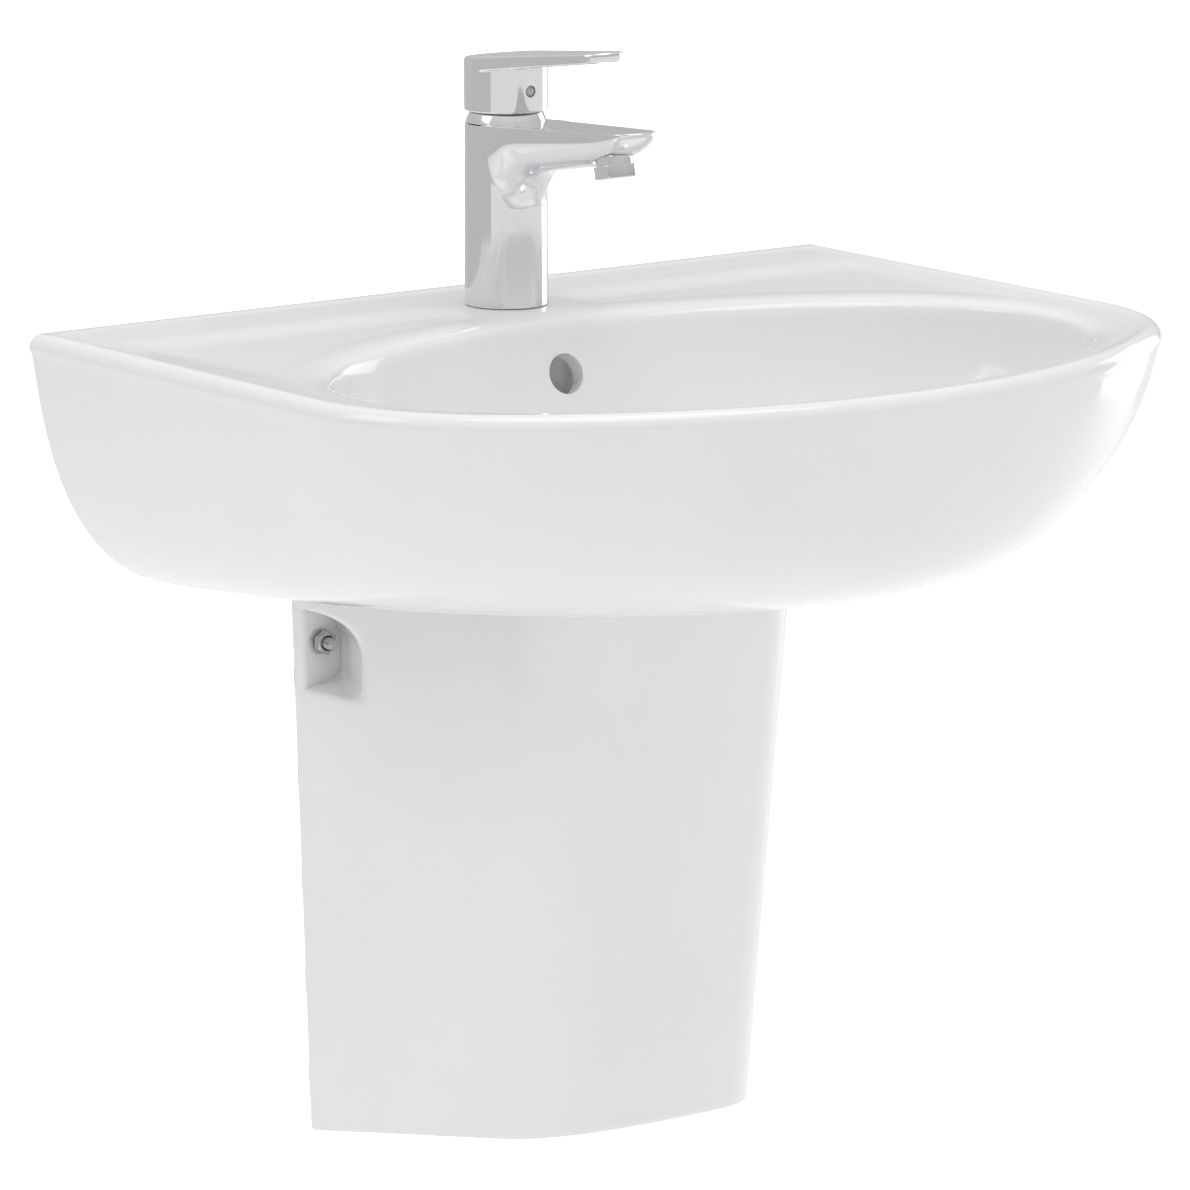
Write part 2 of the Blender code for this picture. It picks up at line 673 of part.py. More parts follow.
def make_fixings():
    for side, label in ((-1, "left"), (1, "right")):
        at = (side * HANGER_SPACING / 2, 0, -HANGER_DROP)
        flange = WALL_PLATE + GAP
        rod("hanger_bolt_" + label, 5 * MM, 46 * MM, 0, ZINC, at, TO_USER)
        turned("hanger_sleeve_" + label, [
            (5.3 * MM, flange + 3 * MM), (14 * MM, flange + 3 * MM), (14 * MM, flange),
            (HANGER_HOLE_RADIUS - GAP, flange), (HANGER_HOLE_RADIUS - GAP, 0), (5.3 * MM, 0),
        ], WHITE_PLASTIC, at, TO_USER, SMALL)
        washer = flange + 3 * MM + GAP
        ring("hanger_washer_" + label, 12 * MM, 5.4 * MM, washer + 2 * MM, washer, ZINC, at, TO_USER, SMALL)
        nut = washer + 2 * MM + GAP
        hexagon("hanger_nut_" + label, 17 * MM, 5.3 * MM, nut + 8 * MM, nut, ZINC, at, TO_USER)

        at = (side * PEDESTAL_BOLT_X, 0, PEDESTAL_BOLT_Z)
        rod("pedestal_bolt_" + label, 4 * MM, 27 * MM, 0, ZINC, at, TO_USER)
        washer = EAR + GAP
        ring("pedestal_washer_" + label, 8 * MM, 4.4 * MM, washer + 1.6 * MM, washer, ZINC, at, TO_USER, SMALL)
        nut = washer + 1.6 * MM + GAP
        hexagon("pedestal_nut_" + label, 13 * MM, 4.3 * MM, nut + 6.5 * MM, nut, ZINC, at, TO_USER)


# mixer

def spout_section(y):
    """A section of the spout: a flat top, upright flanks and a belly that draws in."""
    out = (TAP_Y - y) / SPOUT_REACH  # 0 at the mixer's axis, 1 at the tip
    top = SPOUT_TOP_Z + SPOUT_TOP_RISE * (TAP_Y - y)
    body, tip = TAP_RADIUS - MM, SPOUT_TIP_RADIUS
    half = body + (tip + 1 * MM - body) * min(1, out * 1.1)
    round_start = SPOUT_REACH - SPOUT_TIP_RADIUS
    past = (TAP_Y - y - round_start) / SPOUT_TIP_RADIUS
    if past > 0:
        half = max(2 * MM, tip * math.sqrt(max(0, 1 - past**2)))
    belly_root, belly_mid = 70 * MM, 89 * MM
    belly = belly_root + (belly_mid - belly_root) * min(1, out / 0.55) ** 0.6
    if out > 0.55:
        belly = belly_mid + 8 * MM * ((out - 0.55) / 0.35) ** 1.5
    if past > 0:
        belly += (top - 13 * MM - belly) * min(1, past) ** 2.5
    flank = top - 9 * MM
    points = [(half, y, top), (half, y, flank)]
    steps = 5
    for k in range(1, steps):
        turn = math.pi / 2 * k / steps
        points.append((half * math.cos(turn) ** 0.7, y, flank + (belly - flank) * math.sin(turn) ** 1.3))
    points.append((0, y, belly))
    return points + [(-x, py, pz) for x, py, pz in reversed(points[:-1])]


def make_mixer():
    axis = (0, TAP_Y, 0)
    base = DECK_Z + GAP
    ring("mixer_base_seal", TAP_RADIUS - MM, 19 * MM, base + TAP_BASE_SEAL, base, RUBBER, axis)
    foot = base + TAP_BASE_SEAL + GAP
    body = rod("mixer_body", TAP_RADIUS, TAP_TOP_Z, foot, CHROME, axis, steps=32)
    body.data.vertices[1].co.x = TAP_TOP_RADIUS
    stations = [0.02, 0.12, 0.2, 0.28, 0.4, 0.55, 0.7, 0.82, 0.89, 0.93, 0.965, 0.99, 1]
    spout = loft("spout", [spout_section(TAP_Y - SPOUT_REACH * s) for s in stations], None)
    join(body, spout)
    cut(body, rod("cartridge_bore", CARTRIDGE_BORE, TAP_TOP_Z + 20 * MM, TAP_WEB_Z[1], None, axis, steps=ROUND))
    cut(body, rod("collar_seat", TAP_TOP_RADIUS + 2 * GAP, TAP_TOP_Z + 20 * MM, TAP_TOP_Z - 0.2 * MM, None, axis,
                  steps=32))
    cut(body, rod("hose_chamber", 16.5 * MM, TAP_WEB_Z[0], foot - 10 * MM, None, axis))
    for side in (-1, 1):
        cut(body, rod("inlet", 4 * MM, TAP_WEB_Z[1] + 5 * MM, TAP_WEB_Z[0] - 5 * MM, None,
                      (side * 7 * MM, TAP_Y - 4 * MM, 0), steps=12))
    stud_at = (0, TAP_Y + FIXING_STUD_OFFSET, 0)
    cut(body, rod("stud_hole", FIXING_STUD_RADIUS + GAP, TAP_WEB_Z[0] + 12 * MM, TAP_WEB_Z[0] - 5 * MM, None,
                  stud_at, steps=12))
    cut(body, rod("waterway", WATERWAY, 105 * MM, 5 * MM, None, (0, TAP_Y, 98 * MM),
                  (math.radians(90 - 5), 0, 0), 12))

    seat_at = (0, TAP_Y - AERATOR_REACH, AERATOR_Z)
    tilt = (-AERATOR_TILT, 0, 0)
    cut(body, rod("aerator_land", AERATOR_RADIUS + 1.2 * MM, GAP, -20 * MM, None, seat_at, tilt, ROUND))
    cut(body, rod("aerator_socket", AERATOR_NECK + GAP, AERATOR_SEAT, -10 * MM, None, seat_at, tilt, ROUND))
    neck = AERATOR_SEAT - 2 * GAP - 1.4 * MM
    turned("aerator_housing", [
        (9.5 * MM, neck), (AERATOR_NECK, neck), (AERATOR_NECK, 0), (AERATOR_RADIUS, 0),
        (AERATOR_RADIUS, -AERATOR_HEIGHT), (9.5 * MM, -AERATOR_HEIGHT),
    ], CHROME, seat_at, tilt)
    rod("aerator_insert", 9.2 * MM, neck, -AERATOR_HEIGHT + 1.5 * MM, GREY_PLASTIC, seat_at, tilt, ROUND)
    ring("aerator_seal", AERATOR_NECK, 7.5 * MM, AERATOR_SEAT - GAP, neck + GAP, RUBBER, seat_at, tilt, SMALL)

    under = DECK_Z - DECK_THICKNESS
    half_moon("mixer_rubber_washer", under - GAP, 3 * MM, RUBBER)
    half_moon("mixer_steel_washer", under - 2 * GAP - 3 * MM, 2 * MM, ZINC)
    nut = under - 3 * GAP - 5 * MM
    hexagon("mixer_fixing_nut", 13 * MM, FIXING_STUD_RADIUS + GAP, nut, nut - 15 * MM, BRASS, stud_at, steps=12)
    rod("mixer_fixing_stud", FIXING_STUD_RADIUS, TAP_WEB_Z[0] + 11 * MM, nut - 30 * MM, ZINC, stud_at, steps=12)


def half_moon(name, top, thickness, finish):
    """A half-moon washer that bears on the deck behind the tap hole."""
    made = rod(name, 25 * MM, top, top - thickness, finish, (0, TAP_Y, 0), steps=ROUND)
    cut(made, block(name + "_chord", (-30 * MM, -60 * MM, top - 9 * MM), (30 * MM, 2 * MM, top + 9 * MM), None,
                    at=(0, TAP_Y, 0)))
    cut(made, rod(name + "_hole", FIXING_STUD_RADIUS + GAP, top + 5 * MM, top - thickness - 5 * MM, None,
                  (0, TAP_Y + FIXING_STUD_OFFSET, 0), steps=12))


def make_cartridge():
    axis = (0, TAP_Y, 0)
    floor = TAP_WEB_Z[1]
    ring("cartridge_seal", 16.8 * MM, 13 * MM, CARTRIDGE_BASE_Z - GAP, floor + GAP, RUBBER, axis)
    shell = CARTRIDGE_BORE - GAP
    cavity = CARRIER_RADIUS + GAP
    turned("cartridge_housing", [
        (0, CARRIER_BASE_Z - GAP), (cavity, CARRIER_BASE_Z - GAP), (cavity, CARTRIDGE_TOP_Z),
        (shell, CARTRIDGE_TOP_Z), (shell, CARTRIDGE_BASE_Z), (0, CARTRIDGE_BASE_Z),
    ], WHITE_PLASTIC, axis)
    ring("cartridge_ring_nut", shell, cavity + GAP, TAP_TOP_Z - MM, CARTRIDGE_TOP_Z + GAP, BRASS, axis)
    collar_top = HUB_BOTTOM_Z - 0.8 * MM
    turned("collar_ring", [
        (16 * MM, collar_top), (COLLAR_TOP_RADIUS - 0.5 * MM, collar_top), (COLLAR_TOP_RADIUS, collar_top - 0.5 * MM),
        (COLLAR_FOOT_RADIUS, TAP_TOP_Z + GAP), (16 * MM, TAP_TOP_Z + GAP),
    ], CHROME, axis, steps=32)

    carrier = turned("cartridge_carrier", [
        (0, CARRIER_BASE_Z + 3 * MM), (CARRIER_BORE, CARRIER_BASE_Z + 3 * MM),
        (CARRIER_BORE, CARTRIDGE_TOP_Z - GAP), (CARRIER_RADIUS, CARTRIDGE_TOP_Z - GAP),
        (CARRIER_RADIUS, CARRIER_BASE_Z), (0, CARRIER_BASE_Z),
    ], GREY_PLASTIC, axis)
    across = (0, math.radians(90), 0)
    pivot = (0, TAP_Y, PIVOT_Z)
    cut(carrier, rod("carrier_pin_hole", PIVOT_RADIUS + GAP, 20 * MM, -20 * MM, None, pivot, across, 12))
    half_pin = CARRIER_RADIUS - GAP
    pin = rod("cartridge_pivot_pin", PIVOT_RADIUS, half_pin, -half_pin, ZINC, pivot, across, 12)
    half = SPINDLE_SIDE / 2
    spindle = block("cartridge_spindle", (-half, TAP_Y - half, CARRIER_BASE_Z + 5.2 * MM),
                    (half, TAP_Y + half, SPINDLE_TOP_Z), BRASS)
    cut(spindle, rod("spindle_pin_hole", PIVOT_RADIUS + GAP, 20 * MM, -20 * MM, None, pivot, across, 12))
    hang(SWIVEL, carrier, pin)
    hang(PIVOT, spindle)


def lever_rings():
    """Rings of the handle: a round cap below, and above it a plate that runs out to a round tip."""
    hub, tip = TAP_RADIUS, LEVER_TIP_RADIUS
    tip_y = -(LEVER_REACH - tip)
    lean = math.asin((hub - tip) / -tip_y)  # how far the plate's flanks draw in
    back_steps, side_steps, tip_steps = 18, 3, 8
    start, span = -lean, math.pi + 2 * lean
    back = [(hub * math.cos(start + span * k / back_steps), hub * math.sin(start + span * k / back_steps))
            for k in range(back_steps + 1)]
    tip_turn = [math.pi + lean + (math.pi - 2 * lean) * k / tip_steps for k in range(tip_steps + 1)]
    nose = [(tip * math.cos(t), tip_y + tip * math.sin(t)) for t in tip_turn]

    def straight(a, b):
        return [(a[0] + (b[0] - a[0]) * k / side_steps, a[1] + (b[1] - a[1]) * k / side_steps)
                for k in range(1, side_steps)]

    front = straight(back[-1], nose[0]) + nose + straight(nose[-1], back[0])
    turn_from, turn_to = math.pi + lean, 2 * math.pi - lean
    count = len(front) + 1
    front_round = [(hub * math.cos(turn_from + (turn_to - turn_from) * k / count),
                    hub * math.sin(turn_from + (turn_to - turn_from) * k / count)) for k in range(1, count)]

    def level(points, height, draw_in=0):
        rows = []
        for x, y in points:
            centre_y = min(0, max(tip_y, y))
            dx, dy = x, y - centre_y
            size = math.hypot(dx, dy)
            scale = (size - draw_in) / size
            px, py = dx * scale, centre_y + dy * scale
            rows.append((px, TAP_Y + py, height(py)))
        return rows

    def under(y):
        return LEVER_UNDER_Z - LEVER_UNDER_RISE * y

    def top(y):
        return LEVER_TOP_Z - LEVER_TOP_RISE * y

    cap, plate = back + front_round, back + front
    return [
        level(cap, lambda y: HUB_BOTTOM_Z + HUB_CAVITY + GAP),
        level(cap, under),
        level(plate, under),
        level(plate, lambda y: top(y) - 1.2 * MM),
        level(plate, top, 1.2 * MM),
    ]


def make_lever():
    axis = (0, TAP_Y, 0)
    lever = loft("lever_handle", lever_rings(), CHROME)
    roof = HUB_BOTTOM_Z + HUB_CAVITY
    skirt = turned("lever_skirt", [
        (TAP_RADIUS - HUB_SKIRT, roof), (TAP_RADIUS, roof), (TAP_RADIUS, HUB_BOTTOM_Z + 2 * MM),
        (TAP_RADIUS - 0.8 * MM, HUB_BOTTOM_Z), (TAP_RADIUS - HUB_SKIRT, HUB_BOTTOM_Z),
    ], CHROME, axis, steps=32)
    half = SPINDLE_SIDE / 2 + GAP
    cut(lever, block("spindle_socket", (-half, TAP_Y - half, roof - 5 * MM),
                     (half, TAP_Y + half, SPINDLE_TOP_Z + GAP), None))
    screw_at = (0, TAP_Y, INDICATOR_Z)
    cut(lever, rod("screw_bore", SCREW_BORE, TAP_RADIUS + 10 * MM, half - MM, None, screw_at, TO_USER))
    screw = rod("lever_set_screw", SCREW_BORE - GAP, half + 8 * MM, half, ZINC, screw_at, TO_USER)
    dot = rod("indicator_plug", SCREW_BORE - GAP, TAP_RADIUS - 0.4 * MM, TAP_RADIUS - 4 * MM, INDICATOR, screw_at,
              TO_USER)
    hang(PIVOT, lever, skirt, screw, dot)


# waste and trap

LAND_Z = BOWL_FLOOR_Z - DRAIN_LAND_DROP
FLANGE_Z = LAND_Z + GAP + WASTE_SEAL + GAP
FLANGE_TOP_Z = FLANGE_Z + WASTE_FLANGE
WASTE_FOOT_Z = FLANGE_TOP_Z - WASTE_LENGTH


def make_waste():
    axis = (0, DRAIN_Y, 0)
    around = WASTE_RADIUS + GAP
    ring("waste_upper_seal", WASTE_FLANGE_RADIUS - 2 * MM, around, FLANGE_Z - GAP, LAND_Z + GAP, RUBBER, axis)
    body = turned("waste_body", [
        (WASTE_BORE, FLANGE_TOP_Z), (WASTE_FLANGE_RADIUS - MM, FLANGE_TOP_Z), (WASTE_FLANGE_RADIUS, FLANGE_Z),
        (WASTE_RADIUS, FLANGE_Z), (WASTE_RADIUS, WASTE_FOOT_Z), (WASTE_BORE, WASTE_FOOT_Z),
    ], CHROME, axis)
    slot = (LAND_Z - 5 * MM, DRAIN_BOSS_Z + 6 * MM)
    cut(body, block("overflow_slots", (-30 * MM, -5 * MM, slot[1]), (30 * MM, 5 * MM, slot[0]), None, at=axis))
    gasket = DRAIN_BOSS_Z - GAP
    lip = WASTE_RADIUS + 9.2 * MM
    turned("waste_cone_gasket", [
        (around, gasket), (lip, gasket), (lip, gasket - 2 * MM), (lip - 5 * MM, gasket - 7 * MM),
        (around, gasket - 7 * MM),
    ], RUBBER, axis)
    nut = gasket - 7 * MM - GAP
    hexagon("waste_back_nut", 2 * WASTE_RADIUS + 10.4 * MM, around, nut, nut - 7 * MM, BRASS, axis, steps=ROUND)

    mechanism_z = FLANGE_TOP_Z - 9 * MM
    foot = mechanism_z - 17 * MM
    bore = PLUG_STEM_RADIUS + GAP
    mechanism = turned("click_mechanism", [
        (0, foot + 2 * MM), (bore, foot + 2 * MM), (bore, mechanism_z), (MECHANISM_RADIUS, mechanism_z),
        (MECHANISM_RADIUS, foot), (0, foot),
    ], GREY_PLASTIC, axis, steps=SMALL)
    reach_out = WASTE_BORE - 2 * GAP
    fins = ring("mechanism_rim", WASTE_BORE - GAP, WASTE_BORE - 2 * MM, mechanism_z - 4 * MM, mechanism_z - 9 * MM,
                None, axis)
    join(mechanism, fins)
    for name, low, high in (("fin_a", MECHANISM_RADIUS - MM, reach_out - MM),
                            ("fin_b", -reach_out + MM, -MECHANISM_RADIUS + MM)):
        join(mechanism, block(name, (low, -1.5 * MM, mechanism_z - 8.5 * MM),
                              (high, 1.5 * MM, mechanism_z - 4.5 * MM), None, at=axis))

    cap = FLANGE_TOP_Z + GAP
    cap_piece = turned("plug_cap", [
        (0, cap + 4.5 * MM), (18 * MM, cap + 3.8 * MM), (PLUG_RADIUS - 2 * MM, cap + 2 * MM), (PLUG_RADIUS, cap + MM),
        (PLUG_RADIUS, cap), (0, cap),
    ], CHROME, axis)
    seal = ring("plug_seal", WASTE_BORE - MM, bore, cap - GAP, cap - 3 * MM, RUBBER, axis)
    stem = rod("plug_stem", PLUG_STEM_RADIUS, cap - GAP, cap - PLUG_STEM_LENGTH + 2 * MM, BRASS, axis)
    hang(PLUG, cap_piece, seal, stem)


def make_trap():
    axis = (0, DRAIN_Y, 0)
    washer = WASTE_FOOT_Z - GAP
    ring("trap_inlet_washer", WASTE_RADIUS - GAP, TRAP_TUBE_RADIUS - MM, washer, washer - 2 * MM, RUBBER, axis)
    collar = washer - 2 * MM - GAP
    outer, inner = TRAP_TUBE_RADIUS, TRAP_TUBE_RADIUS - TRAP_WALL
    flange = WASTE_RADIUS - GAP
    outlet_z = BOWL_FLOOR_Z - TRAP_OUTLET_DROP
    stub = TRAP_TUBE_RADIUS + 1.5 * MM
    shoulder = outlet_z + stub
    head_foot = outlet_z - stub - 20 * MM
    head = TRAP_HEAD_RADIUS
    body = turned("trap_body", [
        (inner, collar), (flange, collar), (flange, collar - 2 * MM), (outer, collar - 2 * MM),
        (outer, shoulder + 8 * MM), (head, shoulder + MM), (head, head_foot), (head - 2.5 * MM, head_foot),
        (head - 2.5 * MM, shoulder - 2 * MM), (outer, shoulder + 3 * MM), (outer, head_foot - 6 * MM),
        (inner, head_foot - 6 * MM),
    ], WHITE_PLASTIC, axis)
    outlet_at = (0, 0, outlet_z)
    bottle_side = -DRAIN_Y - head + 3 * MM
    stub_end = bottle_side - 27 * MM
    join(body, rod("outlet_stub", stub, bottle_side, stub_end, None, outlet_at, TO_USER, ROUND))
    cut(body, rod("outlet_bore", outer + GAP, -DRAIN_Y - outer - 3 * MM, stub_end - 5 * MM, None, outlet_at,
                  TO_USER, ROUND))
    nut = collar - 2 * MM - GAP
    grip = WASTE_RADIUS + 4.7 * MM
    turned("trap_inlet_nut", [
        (WASTE_RADIUS + GAP, WASTE_FOOT_Z + 12 * MM), (grip, WASTE_FOOT_Z + 12 * MM), (grip, nut - 2.5 * MM),
        (outer + GAP, nut - 2.5 * MM), (outer + GAP, nut), (WASTE_RADIUS + GAP, nut),
    ], WHITE_PLASTIC, axis)

    seal = head_foot - GAP
    ring("trap_cup_seal", head, head - 2.5 * MM, seal, seal - 2 * MM, RUBBER, axis)
    cup, step = TRAP_CUP_RADIUS, seal - 2 * MM - GAP
    foot = head_foot + 17 * MM - TRAP_CUP_LENGTH
    turned("trap_cup", [
        (0, foot + 2.5 * MM), (head - 5 * MM, foot + 4 * MM), (head - 2.5 * MM, foot + 9 * MM),
        (head - 2.5 * MM, step), (head + GAP, step), (head + GAP, head_foot + 17 * MM), (cup, head_foot + 17 * MM),
        (cup, foot + 10 * MM), (cup - 3 * MM, foot + 2 * MM), (cup - 8 * MM, foot), (0, foot),
    ], WHITE_PLASTIC, axis)

    ring("trap_outlet_washer", stub - 0.1 * MM, outer + GAP, stub_end - GAP, stub_end - 2.3 * MM, RUBBER, outlet_at,
         TO_USER)
    lip = stub_end - 2.3 * MM - GAP
    turned("trap_outlet_nut", [
        (stub + GAP, stub_end + 14 * MM), (23 * MM, stub_end + 14 * MM), (23 * MM, lip - 2.4 * MM),
        (outer + GAP, lip - 2.4 * MM), (outer + GAP, lip), (stub + GAP, lip),
    ], WHITE_PLASTIC, outlet_at, TO_USER)
    ring("wall_pipe", outer, outer - TRAP_WALL, stub_end + 10 * MM, 0, WHITE_PLASTIC, outlet_at, TO_USER)
    turned("wall_rosette", [
        (outer + GAP, 9 * MM), (19 * MM, 9 * MM), (ROSETTE_RADIUS - 8 * MM, 6 * MM), (ROSETTE_RADIUS, 2 * MM),
        (ROSETTE_RADIUS, 0), (outer + GAP, 0),
    ], CHROME, outlet_at, TO_USER)


make_basin()
make_pedestal()
make_fixings()
make_mixer()
make_cartridge()
make_lever()
make_waste()
make_trap()
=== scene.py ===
import json
import math
import bmesh
import bpy
import numpy as np
from mathutils import Matrix, Vector


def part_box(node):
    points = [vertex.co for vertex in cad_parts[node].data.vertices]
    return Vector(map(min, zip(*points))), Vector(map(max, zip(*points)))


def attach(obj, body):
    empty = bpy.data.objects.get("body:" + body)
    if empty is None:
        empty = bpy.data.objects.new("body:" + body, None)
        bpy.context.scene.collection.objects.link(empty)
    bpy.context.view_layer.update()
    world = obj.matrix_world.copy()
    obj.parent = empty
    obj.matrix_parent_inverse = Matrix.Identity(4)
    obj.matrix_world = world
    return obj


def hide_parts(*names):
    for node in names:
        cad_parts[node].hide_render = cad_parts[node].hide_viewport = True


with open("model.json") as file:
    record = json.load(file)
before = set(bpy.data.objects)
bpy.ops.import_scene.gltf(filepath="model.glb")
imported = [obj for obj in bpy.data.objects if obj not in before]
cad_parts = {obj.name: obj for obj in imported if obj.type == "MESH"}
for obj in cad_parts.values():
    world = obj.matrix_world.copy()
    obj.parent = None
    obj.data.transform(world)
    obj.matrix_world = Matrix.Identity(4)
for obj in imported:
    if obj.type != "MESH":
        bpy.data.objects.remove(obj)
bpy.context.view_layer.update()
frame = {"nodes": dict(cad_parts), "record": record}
print("frame loaded,", len(frame["nodes"]), "nodes")

mm = 0.001
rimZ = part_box("basin")[1].z  # the rim's crest; heights below are in mm from it
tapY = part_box("cartridge_ring_nut")[0].y / mm + 18.2
drainY = (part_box("plug_cap")[0].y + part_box("plug_cap")[1].y) / 2 / mm


def hexColour(code):
    def linear(c):
        return c / 12.92 if c <= 0.04045 else ((c + 0.055) / 1.055) ** 2.4
    return tuple(linear(int(code[i:i + 2], 16) / 255) for i in (1, 3, 5)) + (1,)


def addNode(tree, kind, settings=None, inputs=None):
    node = tree.nodes.new(kind)
    for key, value in (settings or {}).items():
        setattr(node, key, value)
    for key, value in (inputs or {}).items():
        if isinstance(value, bpy.types.NodeSocket):
            tree.links.new(value, node.inputs[key])
        else:
            node.inputs[key].default_value = value
    return node


def makeObject(name, points, faces, material, smoothAngle=35):
    # points in mm from the rim's crest
    mesh = bpy.data.meshes.new(name)
    moved = np.array(points, float) * mm + (0, 0, rimZ)
    mesh.from_pydata(moved.tolist(), [], faces)
    mesh.validate()
    piece = bpy.data.objects.new(name, mesh)
    bpy.context.scene.collection.objects.link(piece)
    mesh.materials.append(material)
    mesh.shade_smooth()
    if smoothAngle:
        mesh.set_sharp_from_angle(angle=math.radians(smoothAngle))
    return piece


def finishMesh(piece, smoothAngle=None):
    # modifiers applied through a plain copy of the evaluated mesh
    evaluated = piece.evaluated_get(bpy.context.evaluated_depsgraph_get())
    mesh = bpy.data.meshes.new_from_object(evaluated)
    piece.modifiers.clear()
    piece.data = mesh
    if smoothAngle:
        mesh.set_sharp_from_angle(angle=math.radians(smoothAngle))
    return piece


def settle(piece, body, slot, *nodes):
    if nodes:
        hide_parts(*nodes)
    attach(piece, body)
    return piece


def gridFaces(rows, columns, closeRows=False, closeColumns=True):
    faces = []
    for i in range(rows if closeRows else rows - 1):
        for j in range(columns if closeColumns else columns - 1):
            a, b = (i + 1) % rows, (j + 1) % columns
            faces.append((i * columns + j, i * columns + b, a * columns + b, a * columns + j))
    return faces


def outward(piece):
    shape = bmesh.new()
    shape.from_mesh(piece.data)
    bmesh.ops.remove_doubles(shape, verts=shape.verts, dist=0.00001)
    bmesh.ops.recalc_face_normals(shape, faces=shape.faces)
    shape.to_mesh(piece.data)
    shape.free()
    return piece


def rounded(profile, steps=5):
    # corners are (radius, height, fillet)
    count, out = len(profile), []
    for k, (r, z, fillet) in enumerate(profile):
        here = Vector((r, z))
        before = Vector(profile[k - 1][:2]) - here
        after = Vector(profile[(k + 1) % count][:2]) - here
        if fillet <= 0 or before.length == 0 or after.length == 0:
            out.append((r, z))
            continue
        angle = before.angle(after)
        back = min(fillet / math.tan(angle / 2), before.length * 0.49, after.length * 0.49)
        radius = back * math.tan(angle / 2)
        middle = here + (before.normalized() + after.normalized()).normalized() * radius / math.sin(angle / 2)
        a, b = here + before.normalized() * back - middle, here + after.normalized() * back - middle
        swing = a.angle_signed(b)
        for s in range(steps + 1):
            turn = -swing * s / steps
            p = Vector((a.x * math.cos(turn) - a.y * math.sin(turn), a.x * math.sin(turn) + a.y * math.cos(turn)))
            out.append(tuple(middle + p))
    return out


def turned(name, profile, at, material, turn=None, segments=72, smoothAngle=30):
    # a profile of (radius, height, fillet) spun about its own Z, then turned and placed
    line = rounded(profile)
    points = []
    for r, z in line:
        for k in range(segments):
            angle = 2 * math.pi * k / segments
            points.append(Vector((max(r, 0) * math.cos(angle), max(r, 0) * math.sin(angle), z)))
    where = Matrix.Translation(at) @ (turn.to_4x4() if turn else Matrix.Identity(4))
    points = [where @ p for p in points]
    closed = min(line[0][0], line[-1][0]) > 0.001
    piece = makeObject(name, points, gridFaces(len(line), segments, closed), material, 0)
    outward(piece)
    piece.data.shade_smooth()
    piece.data.set_sharp_from_angle(angle=math.radians(smoothAngle))
    return piece


towardUser = Matrix.Rotation(math.radians(90), 3, "X")  # local +Z then points away from the wall


# skins: closed surfaces drawn through the zero of a distance field

def smoothStep(low, high, value):
    t = np.clip((value - low) / (high - low), 0, 1)
    return t * t * (3 - 2 * t)


def blendMin(a, b, size):
    size = np.maximum(size, 0.001)
    h = np.clip(0.5 + 0.5 * (b - a) / size, 0, 1)
    return b + (a - b) * h - size * h * (1 - h)


def blendMax(a, b, size):
    return -blendMin(-a, -b, size)


def slopeOf(field, points, reach=0.04):
    slope = np.empty_like(points)
    for axis in range(3):
        step = np.zeros(3)
        step[axis] = reach
        slope[:, axis] = (field(points + step) - field(points - step)) / (2 * reach)
    return slope


def skin(name, field, low, high, cell, material, rounds=3):
    size = [int((b - a) / cell) + 4 for a, b in zip(low, high)]
    start = np.array(low, float) - 1.5 * cell
    lattice = np.indices(size).reshape(3, -1).T
    inside = (field(start + lattice * cell) < 0).reshape(size)
    filled = sum(inside[i:size[0] - 1 + i, j:size[1] - 1 + j, k:size[2] - 1 + k].astype(int)
                 for i in (0, 1) for j in (0, 1) for k in (0, 1))
    mixed = (filled > 0) & (filled < 8)
    number = np.full(mixed.shape, -1)
    number[mixed] = np.arange(mixed.sum())
    points = start + (np.argwhere(mixed) + 0.5) * cell
    quads = []
    for axis in range(3):
        u, v = (axis + 1) % 3, (axis + 2) % 3
        near = np.take(inside, range(size[axis] - 1), axis)
        far = np.take(inside, range(1, size[axis]), axis)
        cross = np.argwhere(near != far)
        flip = near[tuple(cross.T)]
        corners = []
        for du, dv in ((1, 1), (0, 1), (0, 0), (1, 0)):
            place = cross.copy()
            place[:, u] -= du
            place[:, v] -= dv
            corners.append(number[tuple(place.T)])
        corners = np.array(corners).T
        corners[~flip] = corners[~flip][:, ::-1]
        quads.append(corners)
    quads = np.vstack(quads)
    ends = np.vstack([quads[:, [0, 1]], quads[:, [1, 2]], quads[:, [2, 3]], quads[:, [3, 0]]])
    degree = np.bincount(ends[:, 0], minlength=len(points))[:, None]
    for turn in range(rounds + 2):
        for _ in range(3):
            slope = slopeOf(field, points)
            length = np.maximum((slope ** 2).sum(1), 0.05)
            move = slope * (field(points) / length)[:, None]
            far = np.linalg.norm(move, axis=1, keepdims=True)
            points = points - move * np.minimum(1, cell / np.maximum(far, 1e-9))
        if turn < rounds:
            mean = np.zeros_like(points)
            np.add.at(mean, ends[:, 0], points[ends[:, 1]])
            drift = mean / np.maximum(degree, 1) - points
            normal = slopeOf(field, points)
            normal /= np.maximum(np.linalg.norm(normal, axis=1, keepdims=True), 1e-9)
            points = points + 0.6 * (drift - normal * (drift * normal).sum(1, keepdims=True))
    piece = makeObject(name, points, quads.tolist(), material, 0)
    normal = slopeOf(field, points, 0.15)
    normal /= np.maximum(np.linalg.norm(normal, axis=1, keepdims=True), 1e-9)
    if len(piece.data.vertices) == len(normal):
        piece.data.normals_split_custom_set_from_vertices(normal.tolist())
    print("skin", name, len(quads), "faces")
    return piece


